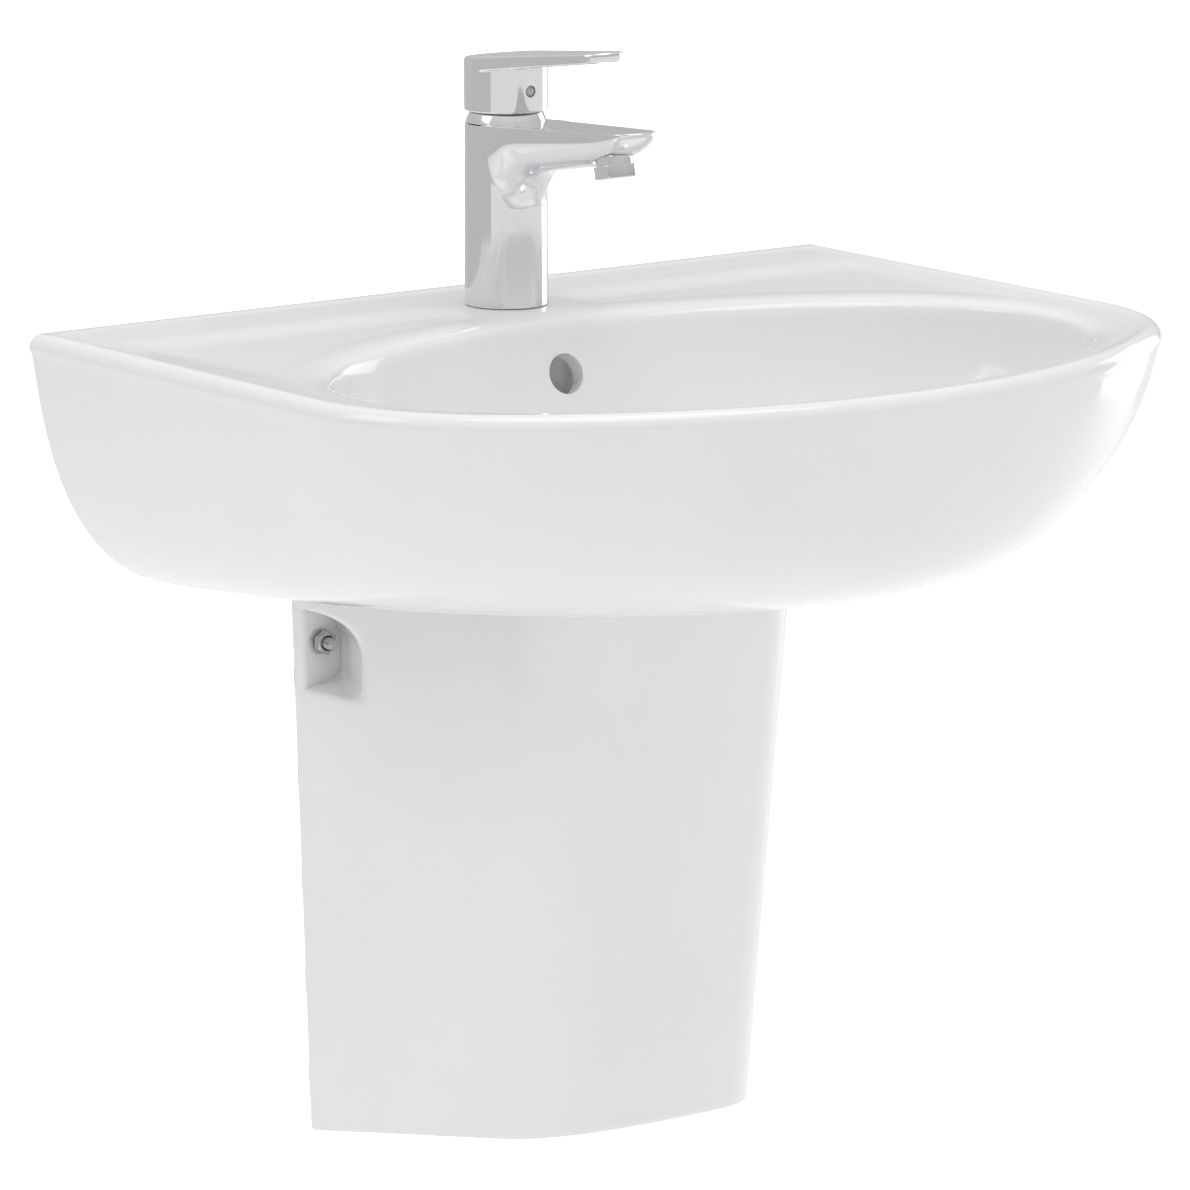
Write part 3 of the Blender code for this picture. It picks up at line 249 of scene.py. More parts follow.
# colours in hex, sizes in mm
finishes = {
    # vitreous china, fired with a thick clear white glaze: bright, glassy, a faint ripple in the gloss
    "glazedChina": dict(base="#F1F1F2", other="#ECECEE", patch=90, rough=(0.09, 0.13), grain=14, bump=0.012,
                        metallic=0, coat=0.35),
    # brass casting, polished and chrome plated: a near mirror, neutral grey
    "chromePlate": dict(base="#E9E9EA", other="#E0E1E3", patch=30, rough=(0.07, 0.11), grain=9, bump=0.0012,
                        metallic=1),
    # turned brass with fine tool marks
    "turnedBrass": dict(base="#C9A25A", other="#B8904A", patch=8, rough=(0.22, 0.34), grain=0.6, bump=0.006,
                        metallic=1),
    # zinc plate with a clear passivate, cloudy blue to straw
    "zincPlate": dict(base="#BBC0C6", other="#C2BDB0", patch=5, rough=(0.14, 0.24), grain=0.8, bump=0.008,
                      metallic=1),
    # nitrile rubber, matt with a dusty bloom
    "nitrileRubber": dict(base="#1B1B1C", other="#262627", patch=6, rough=(0.7, 0.85), grain=0.7, bump=0.02,
                          metallic=0),
    # moulded polypropylene, satin from a spark-eroded tool
    "mouldedPlastic": dict(base="#E9E9E6", other="#E3E3DF", patch=20, rough=(0.32, 0.42), grain=0.5, bump=0.01,
                           metallic=0),
    # moulded acetal, grey and slightly waxy
    "greyAcetal": dict(base="#7B7E83", other="#73767B", patch=8, rough=(0.38, 0.48), grain=0.5, bump=0.008,
                       metallic=0),
    # clear-coated insert set in the cap
    "indicatorInsert": dict(base="#B4B7BC", other="#C6C8CC", patch=1.2, rough=(0.14, 0.2), grain=0.6, bump=0.004,
                            metallic=0.4),
}


def makeFinish(name, base, other, patch, rough, grain, bump, metallic, coat=0):
    material = bpy.data.materials.new(name)
    material.use_nodes = True
    tree = material.node_tree
    shader = tree.nodes["Principled BSDF"]
    where = addNode(tree, "ShaderNodeTexCoord")
    cloud = addNode(tree, "ShaderNodeTexNoise", {"noise_dimensions": "3D"},
                    {"Vector": where.outputs["Object"], "Scale": 1 / (patch * mm), "Detail": 3.0})
    colour = addNode(tree, "ShaderNodeMix", {"data_type": "RGBA"}, {
        "Factor": cloud.outputs["Fac"], 6: hexColour(base), 7: hexColour(other)})
    speck = addNode(tree, "ShaderNodeTexNoise", {"noise_dimensions": "3D"},
                    {"Vector": where.outputs["Object"], "Scale": 1 / (grain * mm), "Detail": 2.0})
    gloss = addNode(tree, "ShaderNodeMapRange", {}, {
        "Value": speck.outputs["Fac"], "From Min": 0.3, "From Max": 0.7, "To Min": rough[0], "To Max": rough[1]})
    relief = addNode(tree, "ShaderNodeBump", {}, {
        "Height": speck.outputs["Fac"], "Distance": bump * mm, "Strength": 1.0})
    tree.links.new(colour.outputs[2], shader.inputs["Base Color"])
    tree.links.new(gloss.outputs["Result"], shader.inputs["Roughness"])
    tree.links.new(relief.outputs["Normal"], shader.inputs["Normal"])
    shader.inputs["Metallic"].default_value = metallic
    shader.inputs["Coat Weight"].default_value = coat
    shader.inputs["Coat Roughness"].default_value = 0.03
    return material


materials = {name: makeFinish(name, **facts) for name, facts in finishes.items()}
slotFinish = {
    "white_glazed_china": "glazedChina", "chrome": "chromePlate", "brass": "turnedBrass",
    "zinc_plated_steel": "zincPlate", "black_rubber": "nitrileRubber", "white_plastic": "mouldedPlastic",
    "grey_plastic": "greyAcetal", "indicator_plastic": "indicatorInsert",
}
for part in frame["record"]["subparts"]:
    node = frame["nodes"][part["node"]]
    node.data.materials.clear()
    node.data.materials.append(materials[slotFinish[part["material_slot"]]])
print("finishes made")


camera = dict(azimuth=36.71, elevation=11.3, distance=4775, lens=242.0, aim=(-54.3, -237.6, -150.8))
heading, height = math.radians(camera["azimuth"]), math.radians(camera["elevation"])
forward = Vector((math.sin(heading) * math.cos(height), math.cos(heading) * math.cos(height), -math.sin(height)))
eye = bpy.data.cameras.new("camera")
eye.lens = camera["lens"]
eye.sensor_width = 36
eye.clip_end = 50
eyeObject = bpy.data.objects.new("camera", eye)
eyeObject.location = (Vector(camera["aim"]) - forward * camera["distance"]) * mm + Vector((0, 0, rimZ))
eyeObject.rotation_euler = forward.to_track_quat("-Z", "Y").to_euler()
bpy.context.scene.collection.objects.link(eyeObject)
bpy.context.scene.camera = eyeObject

studio = dict(floorDrop=850, floorSize=30, skyLow=0.4, skyHigh=0.95, key=12, top=26, strip=15, bounce=0.12,
              boardRadius=2.7, boardFrom=62, boardTo=188, boardLow=-0.8, boardHigh=0.75)
scene = bpy.context.scene
scene.view_settings.view_transform = "Standard"
world = bpy.data.worlds.new("studio")
scene.world = world
world.use_nodes = True
sky = world.node_tree.nodes["Background"]
where = addNode(world.node_tree, "ShaderNodeTexCoord")
split = addNode(world.node_tree, "ShaderNodeSeparateXYZ", {}, {0: where.outputs["Generated"]})
lift = addNode(world.node_tree, "ShaderNodeMapRange", {}, {
    "Value": split.outputs["Z"], "From Min": -0.2, "From Max": 0.9, "To Min": studio["skyLow"],
    "To Max": studio["skyHigh"]})
world.node_tree.links.new(lift.outputs["Result"], sky.inputs["Strength"])
sky.inputs["Color"].default_value = hexColour("#FAFAF9")


def softbox(name, at, look, size, power, colour="#FFFFFF"):
    lamp = bpy.data.lights.new(name, "AREA")
    lamp.shape = "RECTANGLE"
    lamp.size, lamp.size_y = size
    lamp.energy = power
    lamp.color = hexColour(colour)[:3]
    holder = bpy.data.objects.new(name, lamp)
    holder.location = at
    holder.rotation_euler = (Vector(look) - Vector(at)).to_track_quat("-Z", "Y").to_euler()
    scene.collection.objects.link(holder)
    return holder


centre = (0, -0.24, -0.05)
softbox("keyLight", (-2.7, 0.5, 2.2), centre, (1.6, 1.6), studio["key"])
softbox("topLight", (0.2, -0.9, 3.2), centre, (2.4, 2.0), studio["top"])
softbox("stripLight", (3.0, 0.3, 0.0), centre, (1.3, 2.4), studio["strip"])


def greyBoard(name, points, faces, code):
    # a board that only shows in reflections and shading
    mesh = bpy.data.meshes.new(name)
    mesh.from_pydata(points, [], faces)
    board = bpy.data.objects.new(name, mesh)
    scene.collection.objects.link(board)
    paint = bpy.data.materials.new(name)
    paint.use_nodes = True
    shader = paint.node_tree.nodes["Principled BSDF"]
    shader.inputs["Base Color"].default_value = hexColour(code)
    shader.inputs["Roughness"].default_value = 0.9
    mesh.materials.append(paint)
    board.visible_camera = False
    return board


boardSteps = 24
boardPoints = []
for k in range(boardSteps + 1):
    turn = math.radians(studio["boardFrom"] + (studio["boardTo"] - studio["boardFrom"]) * k / boardSteps)
    for level in ("boardLow", "boardHigh"):
        boardPoints.append((studio["boardRadius"] * math.cos(turn), studio["boardRadius"] * math.sin(turn) - 0.24,
                            studio[level]))
boardFaces = [(2 * k, 2 * k + 1, 2 * k + 3, 2 * k + 2) for k in range(boardSteps)]
greyBoard("curvedBoard", boardPoints, boardFaces, "#D2D3D4")

floorMesh = bpy.data.meshes.new("floor")
half = studio["floorSize"] / 2
floorMesh.from_pydata([(-half, -half, 0), (half, -half, 0), (half, half, 0), (-half, half, 0)], [], [(0, 1, 2, 3)])
floor = bpy.data.objects.new("floor", floorMesh)
floor.location = (0, 0, rimZ - studio["floorDrop"] * mm)
scene.collection.objects.link(floor)
floorPaint = bpy.data.materials.new("paleFloor")
floorPaint.use_nodes = True
floorShader = floorPaint.node_tree.nodes["Principled BSDF"]
floorShader.inputs["Base Color"].default_value = hexColour("#F7F7F7")
floorShader.inputs["Roughness"].default_value = 0.9
floorShader.inputs["Emission Color"].default_value = (1, 1, 1, 1)
rays = addNode(floorPaint.node_tree, "ShaderNodeLightPath")
glow = addNode(floorPaint.node_tree, "ShaderNodeMapRange", {}, {
    "Value": rays.outputs["Is Camera Ray"], "To Min": studio["bounce"], "To Max": 1.0})
floorPaint.node_tree.links.new(glow.outputs["Result"], floorShader.inputs["Emission Strength"])
floorMesh.materials.append(floorPaint)
print("camera and studio set")


basin = dict(
    width=600, depth=483, cornerRadius=132, frontRadius=400, height=158.4, apronTop=-9, foot=-149,
    frontSection=((0, 0), (4.5, 131), (5, 124), (298, 149.4)),
    sideSection=((0, 0), (6.3, 0.5), (4.3, 115.3), (80.5, 149.4)),
    roundOff=0.88, roundPower=1.94, lip=8, backLip=3, deck=-1, china=11, wallPlate=14,
    bowlWidth=509, bowlBack=128, bowlFront=456, bowlWidest=282, bowlEdge=-9, bowlFloor=-122,
    fullness=2.3, backFullness=1.1, opening=(80, 255, 50), openingBack=26, landWide=60,
    drainHole=23, drainLand=33, drainDrop=3.5, boss=38, bossZ=-147,
    tapHole=17.5, overflow=12.5, overflowZ=-34, ductWidth=46, ductDepth=22, ductY=-126,
    hanger=140, hangerDrop=80, hangerHole=8,
    steps=(20, 26, 30), backSteps=48,
)


def halfOutline(half, depth, corner, front, steps):
    frontY = front - depth
    cx = half - corner
    cy = frontY - math.sqrt((front - corner) ** 2 - cx ** 2)
    meet = math.atan2(cy - frontY, cx)
    side, bend, bow = steps
    line = [(half, cy * k / side) for k in range(side)]
    for k in range(bend):
        a = meet * k / bend
        line.append((cx + corner * math.cos(a), cy + corner * math.sin(a)))
    for k in range(bow + 1):
        a = meet + (-math.pi / 2 - meet) * k / bow
        line.append((front * math.cos(a), frontY + front * math.sin(a)))
    return line


def wholeOutline(half):
    return np.array(half + [(-x, y) for x, y in reversed(half[:-1])])


rimLine = wholeOutline(halfOutline(basin["width"] / 2, basin["depth"], basin["cornerRadius"],
                                   basin["frontRadius"], basin["steps"]))
arcCount = len(rimLine)


def withBack(arc, y):
    arc = np.array(arc, float)
    arc[0, 1] = arc[-1, 1] = y
    count = basin["backSteps"]
    run = [arc[-1] + (arc[0] - arc[-1]) * k / count for k in range(1, count)]
    return np.vstack([arc, run])


def sectionCurve(section):
    a, b, c, d = (np.array(p, float) for p in section)
    t = np.linspace(0, 1, 400)[:, None]
    curve = (1 - t) ** 3 * a + 3 * (1 - t) ** 2 * t * b + 3 * (1 - t) * t ** 2 * c + t ** 3 * d
    curve[:, 1] = np.maximum.accumulate(curve[:, 1])
    return curve


frontCurve, sideCurve = sectionCurve(basin["frontSection"]), sectionCurve(basin["sideSection"])
rimSize = np.array((basin["width"] / 2, basin["depth"]))
rimUnit = rimLine / rimSize
rimTurn = np.arctan2(rimUnit[:, 0], -rimUnit[:, 1])
ovalUnit = np.column_stack([np.sin(rimTurn), -np.cos(rimTurn)])


def apronLevel(z):
    drop = basin["apronTop"] - z
    size = rimSize - (np.interp(drop, sideCurve[:, 1], sideCurve[:, 0]),
                      np.interp(drop, frontCurve[:, 1], frontCurve[:, 0]))
    mix = basin["roundOff"] * (-z / basin["height"]) ** basin["roundPower"]
    return ((1 - mix) * rimUnit + mix * ovalUnit) * size


# the underside as a height map over the plan, read back between its points
levelZ = np.concatenate([np.linspace(basin["apronTop"], -140, 60), np.linspace(-140.5, -basin["height"], 60)])
headings = np.linspace(-math.pi / 2, math.pi / 2, 361)
reachMap = []
for z in levelZ:
    level = apronLevel(z)
    bearing = np.arctan2(level[:, 0], -level[:, 1])
    order = np.argsort(bearing)
    reachMap.append(np.interp(headings, bearing[order], np.hypot(level[:, 0], level[:, 1])[order]))
reachMap = np.array(reachMap)


def underside(x, y):
    x, y = np.atleast_1d(np.asarray(x, float)), np.atleast_1d(np.asarray(y, float))
    bearing, distance = np.arctan2(x, -np.minimum(y, 0)), np.hypot(x, y)
    column = (bearing + math.pi / 2) / math.pi * (len(headings) - 1)
    left = np.clip(column.astype(int), 0, len(headings) - 2)
    share = column - left
    reach = reachMap[:, left] * (1 - share) + reachMap[:, left + 1] * share  # falls with depth
    out = np.full(len(x), -basin["height"])
    for k in range(len(levelZ) - 1):
        high, low = reach[k], reach[k + 1]
        here = (distance <= high) & (distance > low)
        t = (high - distance) / np.maximum(high - low, 1e-6)
        out = np.where(here, levelZ[k] + (levelZ[k + 1] - levelZ[k]) * t, out)
    return np.where(distance > reach[0], levelZ[0], out)


ringHeading = np.arctan2(withBack(np.column_stack([rimLine, np.zeros(arcCount)]), 0)[:, 1] + basin["bowlWidest"],
                         withBack(np.column_stack([rimLine, np.zeros(arcCount)]), 0)[:, 0])


def bowlLevel(z, grow=0.0):
    b = basin
    share = np.clip((b["bowlEdge"] - z) / (b["bowlEdge"] - b["bowlFloor"]), 0, 1)
    width = (1 - share ** b["fullness"]) ** (1 / b["fullness"])
    back = (1 - share ** b["backFullness"]) ** (1 / b["backFullness"])
    floorR = b["drainLand"] + 4
    half = floorR + (b["bowlWidth"] / 2 - floorR) * width + grow
    frontY = drainY - floorR + (-b["bowlFront"] - drainY + floorR) * width - grow
    backY = drainY + floorR + (-b["bowlBack"] - drainY - floorR) * back + grow
    middle = drainY + (-b["bowlWidest"] - drainY) * width
    c, s = np.cos(ringHeading), np.sin(ringHeading)
    depth = np.where(s < 0, middle - frontY, backY - middle)
    length = 1 / np.sqrt((c / half) ** 2 + (s / depth) ** 2)
    return np.column_stack([c * length, middle + s * length, np.full(len(c), z)])


def drainRing(radius, z):
    return np.column_stack([radius * np.cos(ringHeading), drainY + radius * np.sin(ringHeading),
                            np.full(len(ringHeading), z)])


def levelRing(z):
    return withBack(np.column_stack([apronLevel(z), np.full(arcCount, z)]), 0)


def lipRing(share):
    turn = share * math.pi / 2
    lean = 1 - math.cos(turn)
    along = np.gradient(rimLine, axis=0)
    along[0], along[-1] = (0, -1), (0, 1)
    normal = np.column_stack([-along[:, 1], along[:, 0]])
    normal /= np.linalg.norm(normal, axis=1)[:, None]
    arc = rimLine - normal * basin["lip"] * lean
    z = basin["apronTop"] * (1 - math.sin(turn))
    return withBack(np.column_stack([arc, np.full(arcCount, z)]), -basin["backLip"] * lean)


def deckHeight(x, y, edgeGap, rimGap):
    # edgeGap and rimGap: how far the point lies from the bowl's edge and from the rim's crest
    shelf = smoothStep(-52, -86, y) * smoothStep(24, 60, np.hypot(x, y - tapY))
    slope = -2.2 * shelf * smoothStep(0, 40, rimGap)
    landing = -1.0 * smoothStep(0, 9, rimGap)
    width = edgeGap + rimGap
    roll = np.clip(width * 0.55, 7, 34)  # a wide soft shoulder on the deck, a tight one on the front lip
    t = np.clip(1 - edgeGap / roll, 0, 1)
    shoulder = (basin["bowlEdge"] - basin["deck"]) * (1 - np.sqrt(np.maximum(1 - t ** 2.2, 0)) ** 0.9)
    return landing + slope * (1 - t) + shoulder


def openingRing(above):
    half, depth, corner = basin["opening"]
    arc = wholeOutline(halfOutline(half, depth, corner, basin["frontRadius"], basin["steps"]))
    return withBack(np.column_stack([arc, underside(arc[:, 0], arc[:, 1]) + above]), -basin["openingBack"])


def footRing(share, foot, opening):
    arc = foot[:arcCount, :2] * (1 - share) + opening[:arcCount, :2] * share
    back = -basin["openingBack"] * max(0, share - 0.12) / 0.88
    arc[0, 1] = arc[-1, 1] = back
    return withBack(np.column_stack([arc, underside(arc[:, 0], arc[:, 1])]), back)


def inward(rows, amount):
    # the same ring moved in by a wall's thickness, from the slope between its neighbours
    here, above, below = rows
    along = np.roll(here, -1, 0) - np.roll(here, 1, 0)
    normal = np.cross(along, above - below)
    normal /= np.maximum(np.linalg.norm(normal, axis=1, keepdims=True), 1e-9)
    middle = np.array((0, -basin["depth"] / 2, -60))
    normal *= np.sign(((middle - here) * normal).sum(1))[:, None]
    moved = here + normal * amount
    moved[:, 1] = np.minimum(moved[:, 1], -basin["wallPlate"])
    moved[arcCount:, :] = (moved[arcCount - 1] + (moved[0] - moved[arcCount - 1])
                           * (np.arange(1, basin["backSteps"]) / basin["backSteps"])[:, None])
    moved[arcCount:, 1] = -basin["wallPlate"]
    return moved


def overflowDuct():
    # the cast channel behind the overflow hole: a half-round wall that closes at the top and opens downwards
    b, around, rows = basin, 24, []
    for inset, height in ((0, -18), (0, -72), (4, -72), (4, -22)):
        wide, deep = b["ductWidth"] / 2 - inset, b["ductDepth"] - inset
        turns = [math.pi * k / around for k in range(around + 1)]
        rows.append([(wide * math.cos(a), b["ductY"] + deep * math.sin(a) ** 0.7, height) for a in turns])
    rows = [[(0, b["ductY"] + 1, -18)] * (around + 1)] + rows + [[(0, b["ductY"] + 1, -22)] * (around + 1)]
    points = [p for row in rows for p in row]
    duct = makeObject("overflowDuct", points, gridFaces(len(rows), around + 1, True, False),
                      materials["glazedChina"], 0)
    return outward(duct)


def makeBasin():
    b = basin
    crest, edge = lipRing(1), bowlLevel(b["bowlEdge"])
    land = np.linalg.norm(crest[:, :2] - edge[:, :2], axis=1)
    narrow = np.clip((b["landWide"] - land) / (b["landWide"] - land.min()), 0, 1)
    roof = b["deck"] - 13 - narrow * 32

    rows = [lipRing(s) for s in np.linspace(0.9, 0.1, 9)]
    rows += [levelRing(z) for z in np.concatenate([np.linspace(-9, -120, 38), np.linspace(-122.5, b["foot"], 16)])]
    opening = openingRing(0)
    rows += [footRing(s, rows[-1], opening) for s in (0.04, 0.08, 0.12, 0.2, 0.3, 0.42, 0.55, 0.7, 0.85, 0.95)]
    rows += [opening, openingRing(2), openingRing(b["china"])]
    foot = levelRing(b["foot"] + 2)
    for s in (0.75, 0.4, 0.12):
        ring = footRing(s, foot, opening)
        ring[:, 2] += b["china"]
        ring[:, 1] = np.minimum(ring[:, 1], -b["wallPlate"])
        rows.append(ring)
    for s in np.linspace(0.06, 1, 12):
        z = b["foot"] + 2 + (roof - b["foot"] - 2) * s
        picked = []
        for shift in (0, 1, -1):
            arc = np.array([apronLevel(zk + shift)[k] for k, zk in enumerate(z[:arcCount])])
            picked.append(withBack(np.column_stack([arc, z[:arcCount] + shift]), 0))
        ring = inward(picked, b["china"])
        if s == 1:
            ring[:, 2] = roof
        rows.append(ring)
    for s in (0.03, 0.12, 0.25, 0.4, 0.55, 0.7, 0.82, 0.91, 0.97):
        z = roof + (b["bowlFloor"] + 1.5 - roof) * s
        flat = np.array([bowlLevel(zk)[k] for k, zk in enumerate(z)])
        high = np.array([bowlLevel(zk + 1)[k] for k, zk in enumerate(z)])
        deep = np.array([bowlLevel(zk - 1)[k] for k, zk in enumerate(z)])
        along = np.roll(flat, -1, 0) - np.roll(flat, 1, 0)
        normal = np.cross(along, high - deep)
        normal /= np.linalg.norm(normal, axis=1, keepdims=True)
        normal *= np.sign(-normal[:, 2:3])
        ring = flat + normal * b["china"]
        if s == 0.03:
            ring[:, 2] = roof
        rows.append(ring)
    rows += [drainRing(b["boss"], b["bossZ"] + 8), drainRing(b["boss"], b["bossZ"] + 1),
             drainRing(b["boss"] - 1, b["bossZ"]), drainRing(b["drainHole"], b["bossZ"])]
    landZ = b["bowlFloor"] - b["drainDrop"]
    rows += [drainRing(b["drainHole"], landZ), drainRing(b["drainLand"] - 0.8, landZ),
             drainRing(b["drainLand"] - 0.2, landZ + 0.6), drainRing(b["drainLand"] + 0.8, b["bowlFloor"] - 0.7),
             drainRing(b["drainLand"] + 2.2, b["bowlFloor"] - 0.1)]
    depth = b["bowlEdge"] - b["bowlFloor"]
    for s in np.sin(np.linspace(math.pi / 2, 0, 30)):
        rows.append(bowlLevel(b["bowlEdge"] - (depth - 0.05) * s))
    for s in np.concatenate([np.linspace(0.985, 0.6, 16), np.linspace(0.55, 0.04, 14)]):
        row = crest * (1 - s) + edge * s
        row[:, 2] = deckHeight(row[:, 0], row[:, 1], land * (1 - s), land * s)
        rows.append(row)
    rows.append(crest)
    columns = len(rows[0])
    faces = gridFaces(len(rows), columns, True)
    piece = makeObject("basinShell", np.vstack(rows), faces, materials["glazedChina"], 0)
    outward(piece)

    def drill(name, radius, length, at, turn):
        bpy.ops.mesh.primitive_cylinder_add(vertices=64, radius=radius * mm, depth=length * mm)
        tool = bpy.context.active_object
        tool.name = name
        tool.data.transform(Matrix.Translation(Vector(at) * mm + Vector((0, 0, rimZ))) @ turn.to_4x4())
        cutBy = piece.modifiers.new(name, "BOOLEAN")
        cutBy.operation = "DIFFERENCE"
        cutBy.solver = "EXACT"
        cutBy.object = tool
        return tool

    tools = [drill("tapHole", b["tapHole"], 60, (0, tapY, -10), Matrix.Identity(3)),
             drill("overflowHole", b["overflow"], 80, (0, -b["bowlBack"] - 14, b["overflowZ"]),
                   Matrix.Rotation(math.radians(70), 3, "X"))]
    for side in (-1, 1):
        tools.append(drill("hangerHole", b["hangerHole"], 40, (side * b["hanger"], -10, -b["hangerDrop"]),
                           towardUser))
    bevel = piece.modifiers.new("glazeEdge", "BEVEL")
    bevel.limit_method = "ANGLE"
    bevel.angle_limit = math.radians(48)
    bevel.width = 1.6 * mm
    bevel.segments = 3
    finishMesh(piece)
    for tool in tools:
        bpy.data.objects.remove(tool)
    duct = overflowDuct()
    joined = bmesh.new()
    joined.from_mesh(piece.data)
    joined.from_mesh(duct.data)
    joined.to_mesh(piece.data)
    joined.free()
    bpy.data.objects.remove(duct)
    piece.data.shade_smooth()
    piece.data.set_sharp_from_angle(angle=math.radians(50))
    return settle(piece, "fixed", "white_glazed_china", "basin")


makeBasin()
print("basin made")


pedestal = dict(topWidth=225.8, footWidth=199.4, topFront=186.6, footFront=170.4, topDepth=273, footDepth=237,
                footZ=-525.7, footSlope=0.1775, corner=50, front=260, china=11, ear=11,
                pocketDepth=31, pocketTop=-190, pocketFoot=-241, pocketReach=86, pocketWall=9, pocketFall=0.2,
                boltX=97, boltZ=-211, edge=3.0, cell=2.3)


def pedestalPlan(x, y, z):
    # how far a point lies outside the pedestal's outline, which splays towards the wall and tapers downwards
    p = pedestal
    share = (z + basin["height"]) / (p["footZ"] + basin["height"])
    wall = (p["topWidth"] + (p["footWidth"] - p["topWidth"]) * share) / 2
    front = (p["topFront"] + (p["footFront"] - p["topFront"]) * share) / 2
    depth = p["topDepth"] + (p["footDepth"] - p["topDepth"]) * share
    splay = 1 + (wall / front - 1) * np.clip(1 + y / depth, 0, 1.2)
    flat = np.abs(x) / splay
    frontY = p["front"] - depth
    cx = front - p["corner"]
    cy = frontY - np.sqrt((p["front"] - p["corner"]) ** 2 - cx ** 2)
    side = flat - front
    bow = np.hypot(flat, y - frontY) - p["front"]
    corner = np.hypot(flat - cx, y - cy) - p["corner"]
    out = np.maximum(side, np.where(y < frontY, bow, -1e3))
    bearing = np.arctan2(cy - frontY, cx)
    inCorner = (y < cy) & (np.arctan2(y - cy, flat - cx) > bearing)
    return np.where(inCorner, corner, out)


def pedestalField(points):
    p = pedestal
    x, y, z = points.T
    plan = pedestalPlan(x, y, z)
    shell = blendMax(plan, -plan - p["china"], 1.0)
    nearX = np.abs(x)

    def pocket(grow):
        deepX = p["topWidth"] / 2 - p["pocketDepth"] - grow
        reachY = p["ear"] + 5 + (p["pocketReach"] - p["ear"] - 5) * (nearX - deepX - grow) / p["pocketDepth"]
        slant = (-y - reachY - grow) * 0.45
        inner = blendMax(deepX - nearX, slant, 4)
        upper = blendMax(inner, z - p["pocketTop"] - grow, 26)
        sill = p["pocketFoot"] + p["pocketFall"] * (p["topWidth"] / 2 - nearX)
        return blendMax(upper, sill - grow - z, 7)

    lining = np.maximum(np.maximum(pocket(p["pocketWall"]), plan + 3), y)
    hollow = np.maximum(pocket(0), y + p["ear"])
    solid = blendMin(shell, lining, 3)
    solid = blendMax(solid, -hollow, p["edge"])
    top = z - (underTop(x, y) - 0.6)
    foot = (p["footZ"] - p["footSlope"] * y) - z
    solid = blendMax(solid, blendMax(foot * 0.985, top, 0.5), p["edge"])
    bolt = np.maximum(np.hypot(nearX - p["boltX"], z - p["boltZ"]) - 5, -y - 2 * p["ear"])
    return blendMax(blendMax(solid, y, 1.2), -bolt, 0.6)


mapX, mapY = np.meshgrid(np.linspace(-130, 130, 131), np.linspace(-290, 10, 151), indexing="ij")
topMap = underside(mapX.ravel(), mapY.ravel()).reshape(mapX.shape)


def underTop(x, y):
    u = np.clip((x + 130) / 2, 0, 129.999)
    v = np.clip((y + 290) / 2, 0, 149.999)
    i, j = u.astype(int), v.astype(int)
    s, t = u - i, v - j
    return (topMap[i, j] * (1 - s) * (1 - t) + topMap[i + 1, j] * s * (1 - t)
            + topMap[i, j + 1] * (1 - s) * t + topMap[i + 1, j + 1] * s * t)


settle(skin("pedestalShell", pedestalField, (-116, -277, -528), (116, 1, -145), pedestal["cell"],
            materials["glazedChina"]), "fixed", "white_glazed_china", "semi_pedestal")


mixer = dict(radius=25.8, topRadius=25.4, top=111.4, rise=0.062, foot=-0.8, seat=0.6, sealRadius=22.6,
             reach=141, tip=15.5, crown=1.1, fillet=22, collarTop=22.6, collarFoot=25.1, collarHigh=118.2,
             bore=18.5, boreFoot=72, chamber=16.5, chamberTop=50, aeratorOut=111, aeratorZ=97.3,
             aeratorTilt=11, aeratorRadius=13, cell=0.95)


def taperedPlan(x, y, near, far, length):
    # signed distance to the outline round two circles on the mixer's axis line
    x = np.abs(x)
    slope = (near - far) / length
    rise = math.sqrt(1 - slope * slope)
    along = -y * rise - x * slope  # position along the tangent flank
    back = np.hypot(x, y) - near
    tip = np.hypot(x, y + length) - far
    flank = x * rise + (-y) * slope - near
    return np.where(along < 0, back, np.where(along > length * rise, tip, flank))


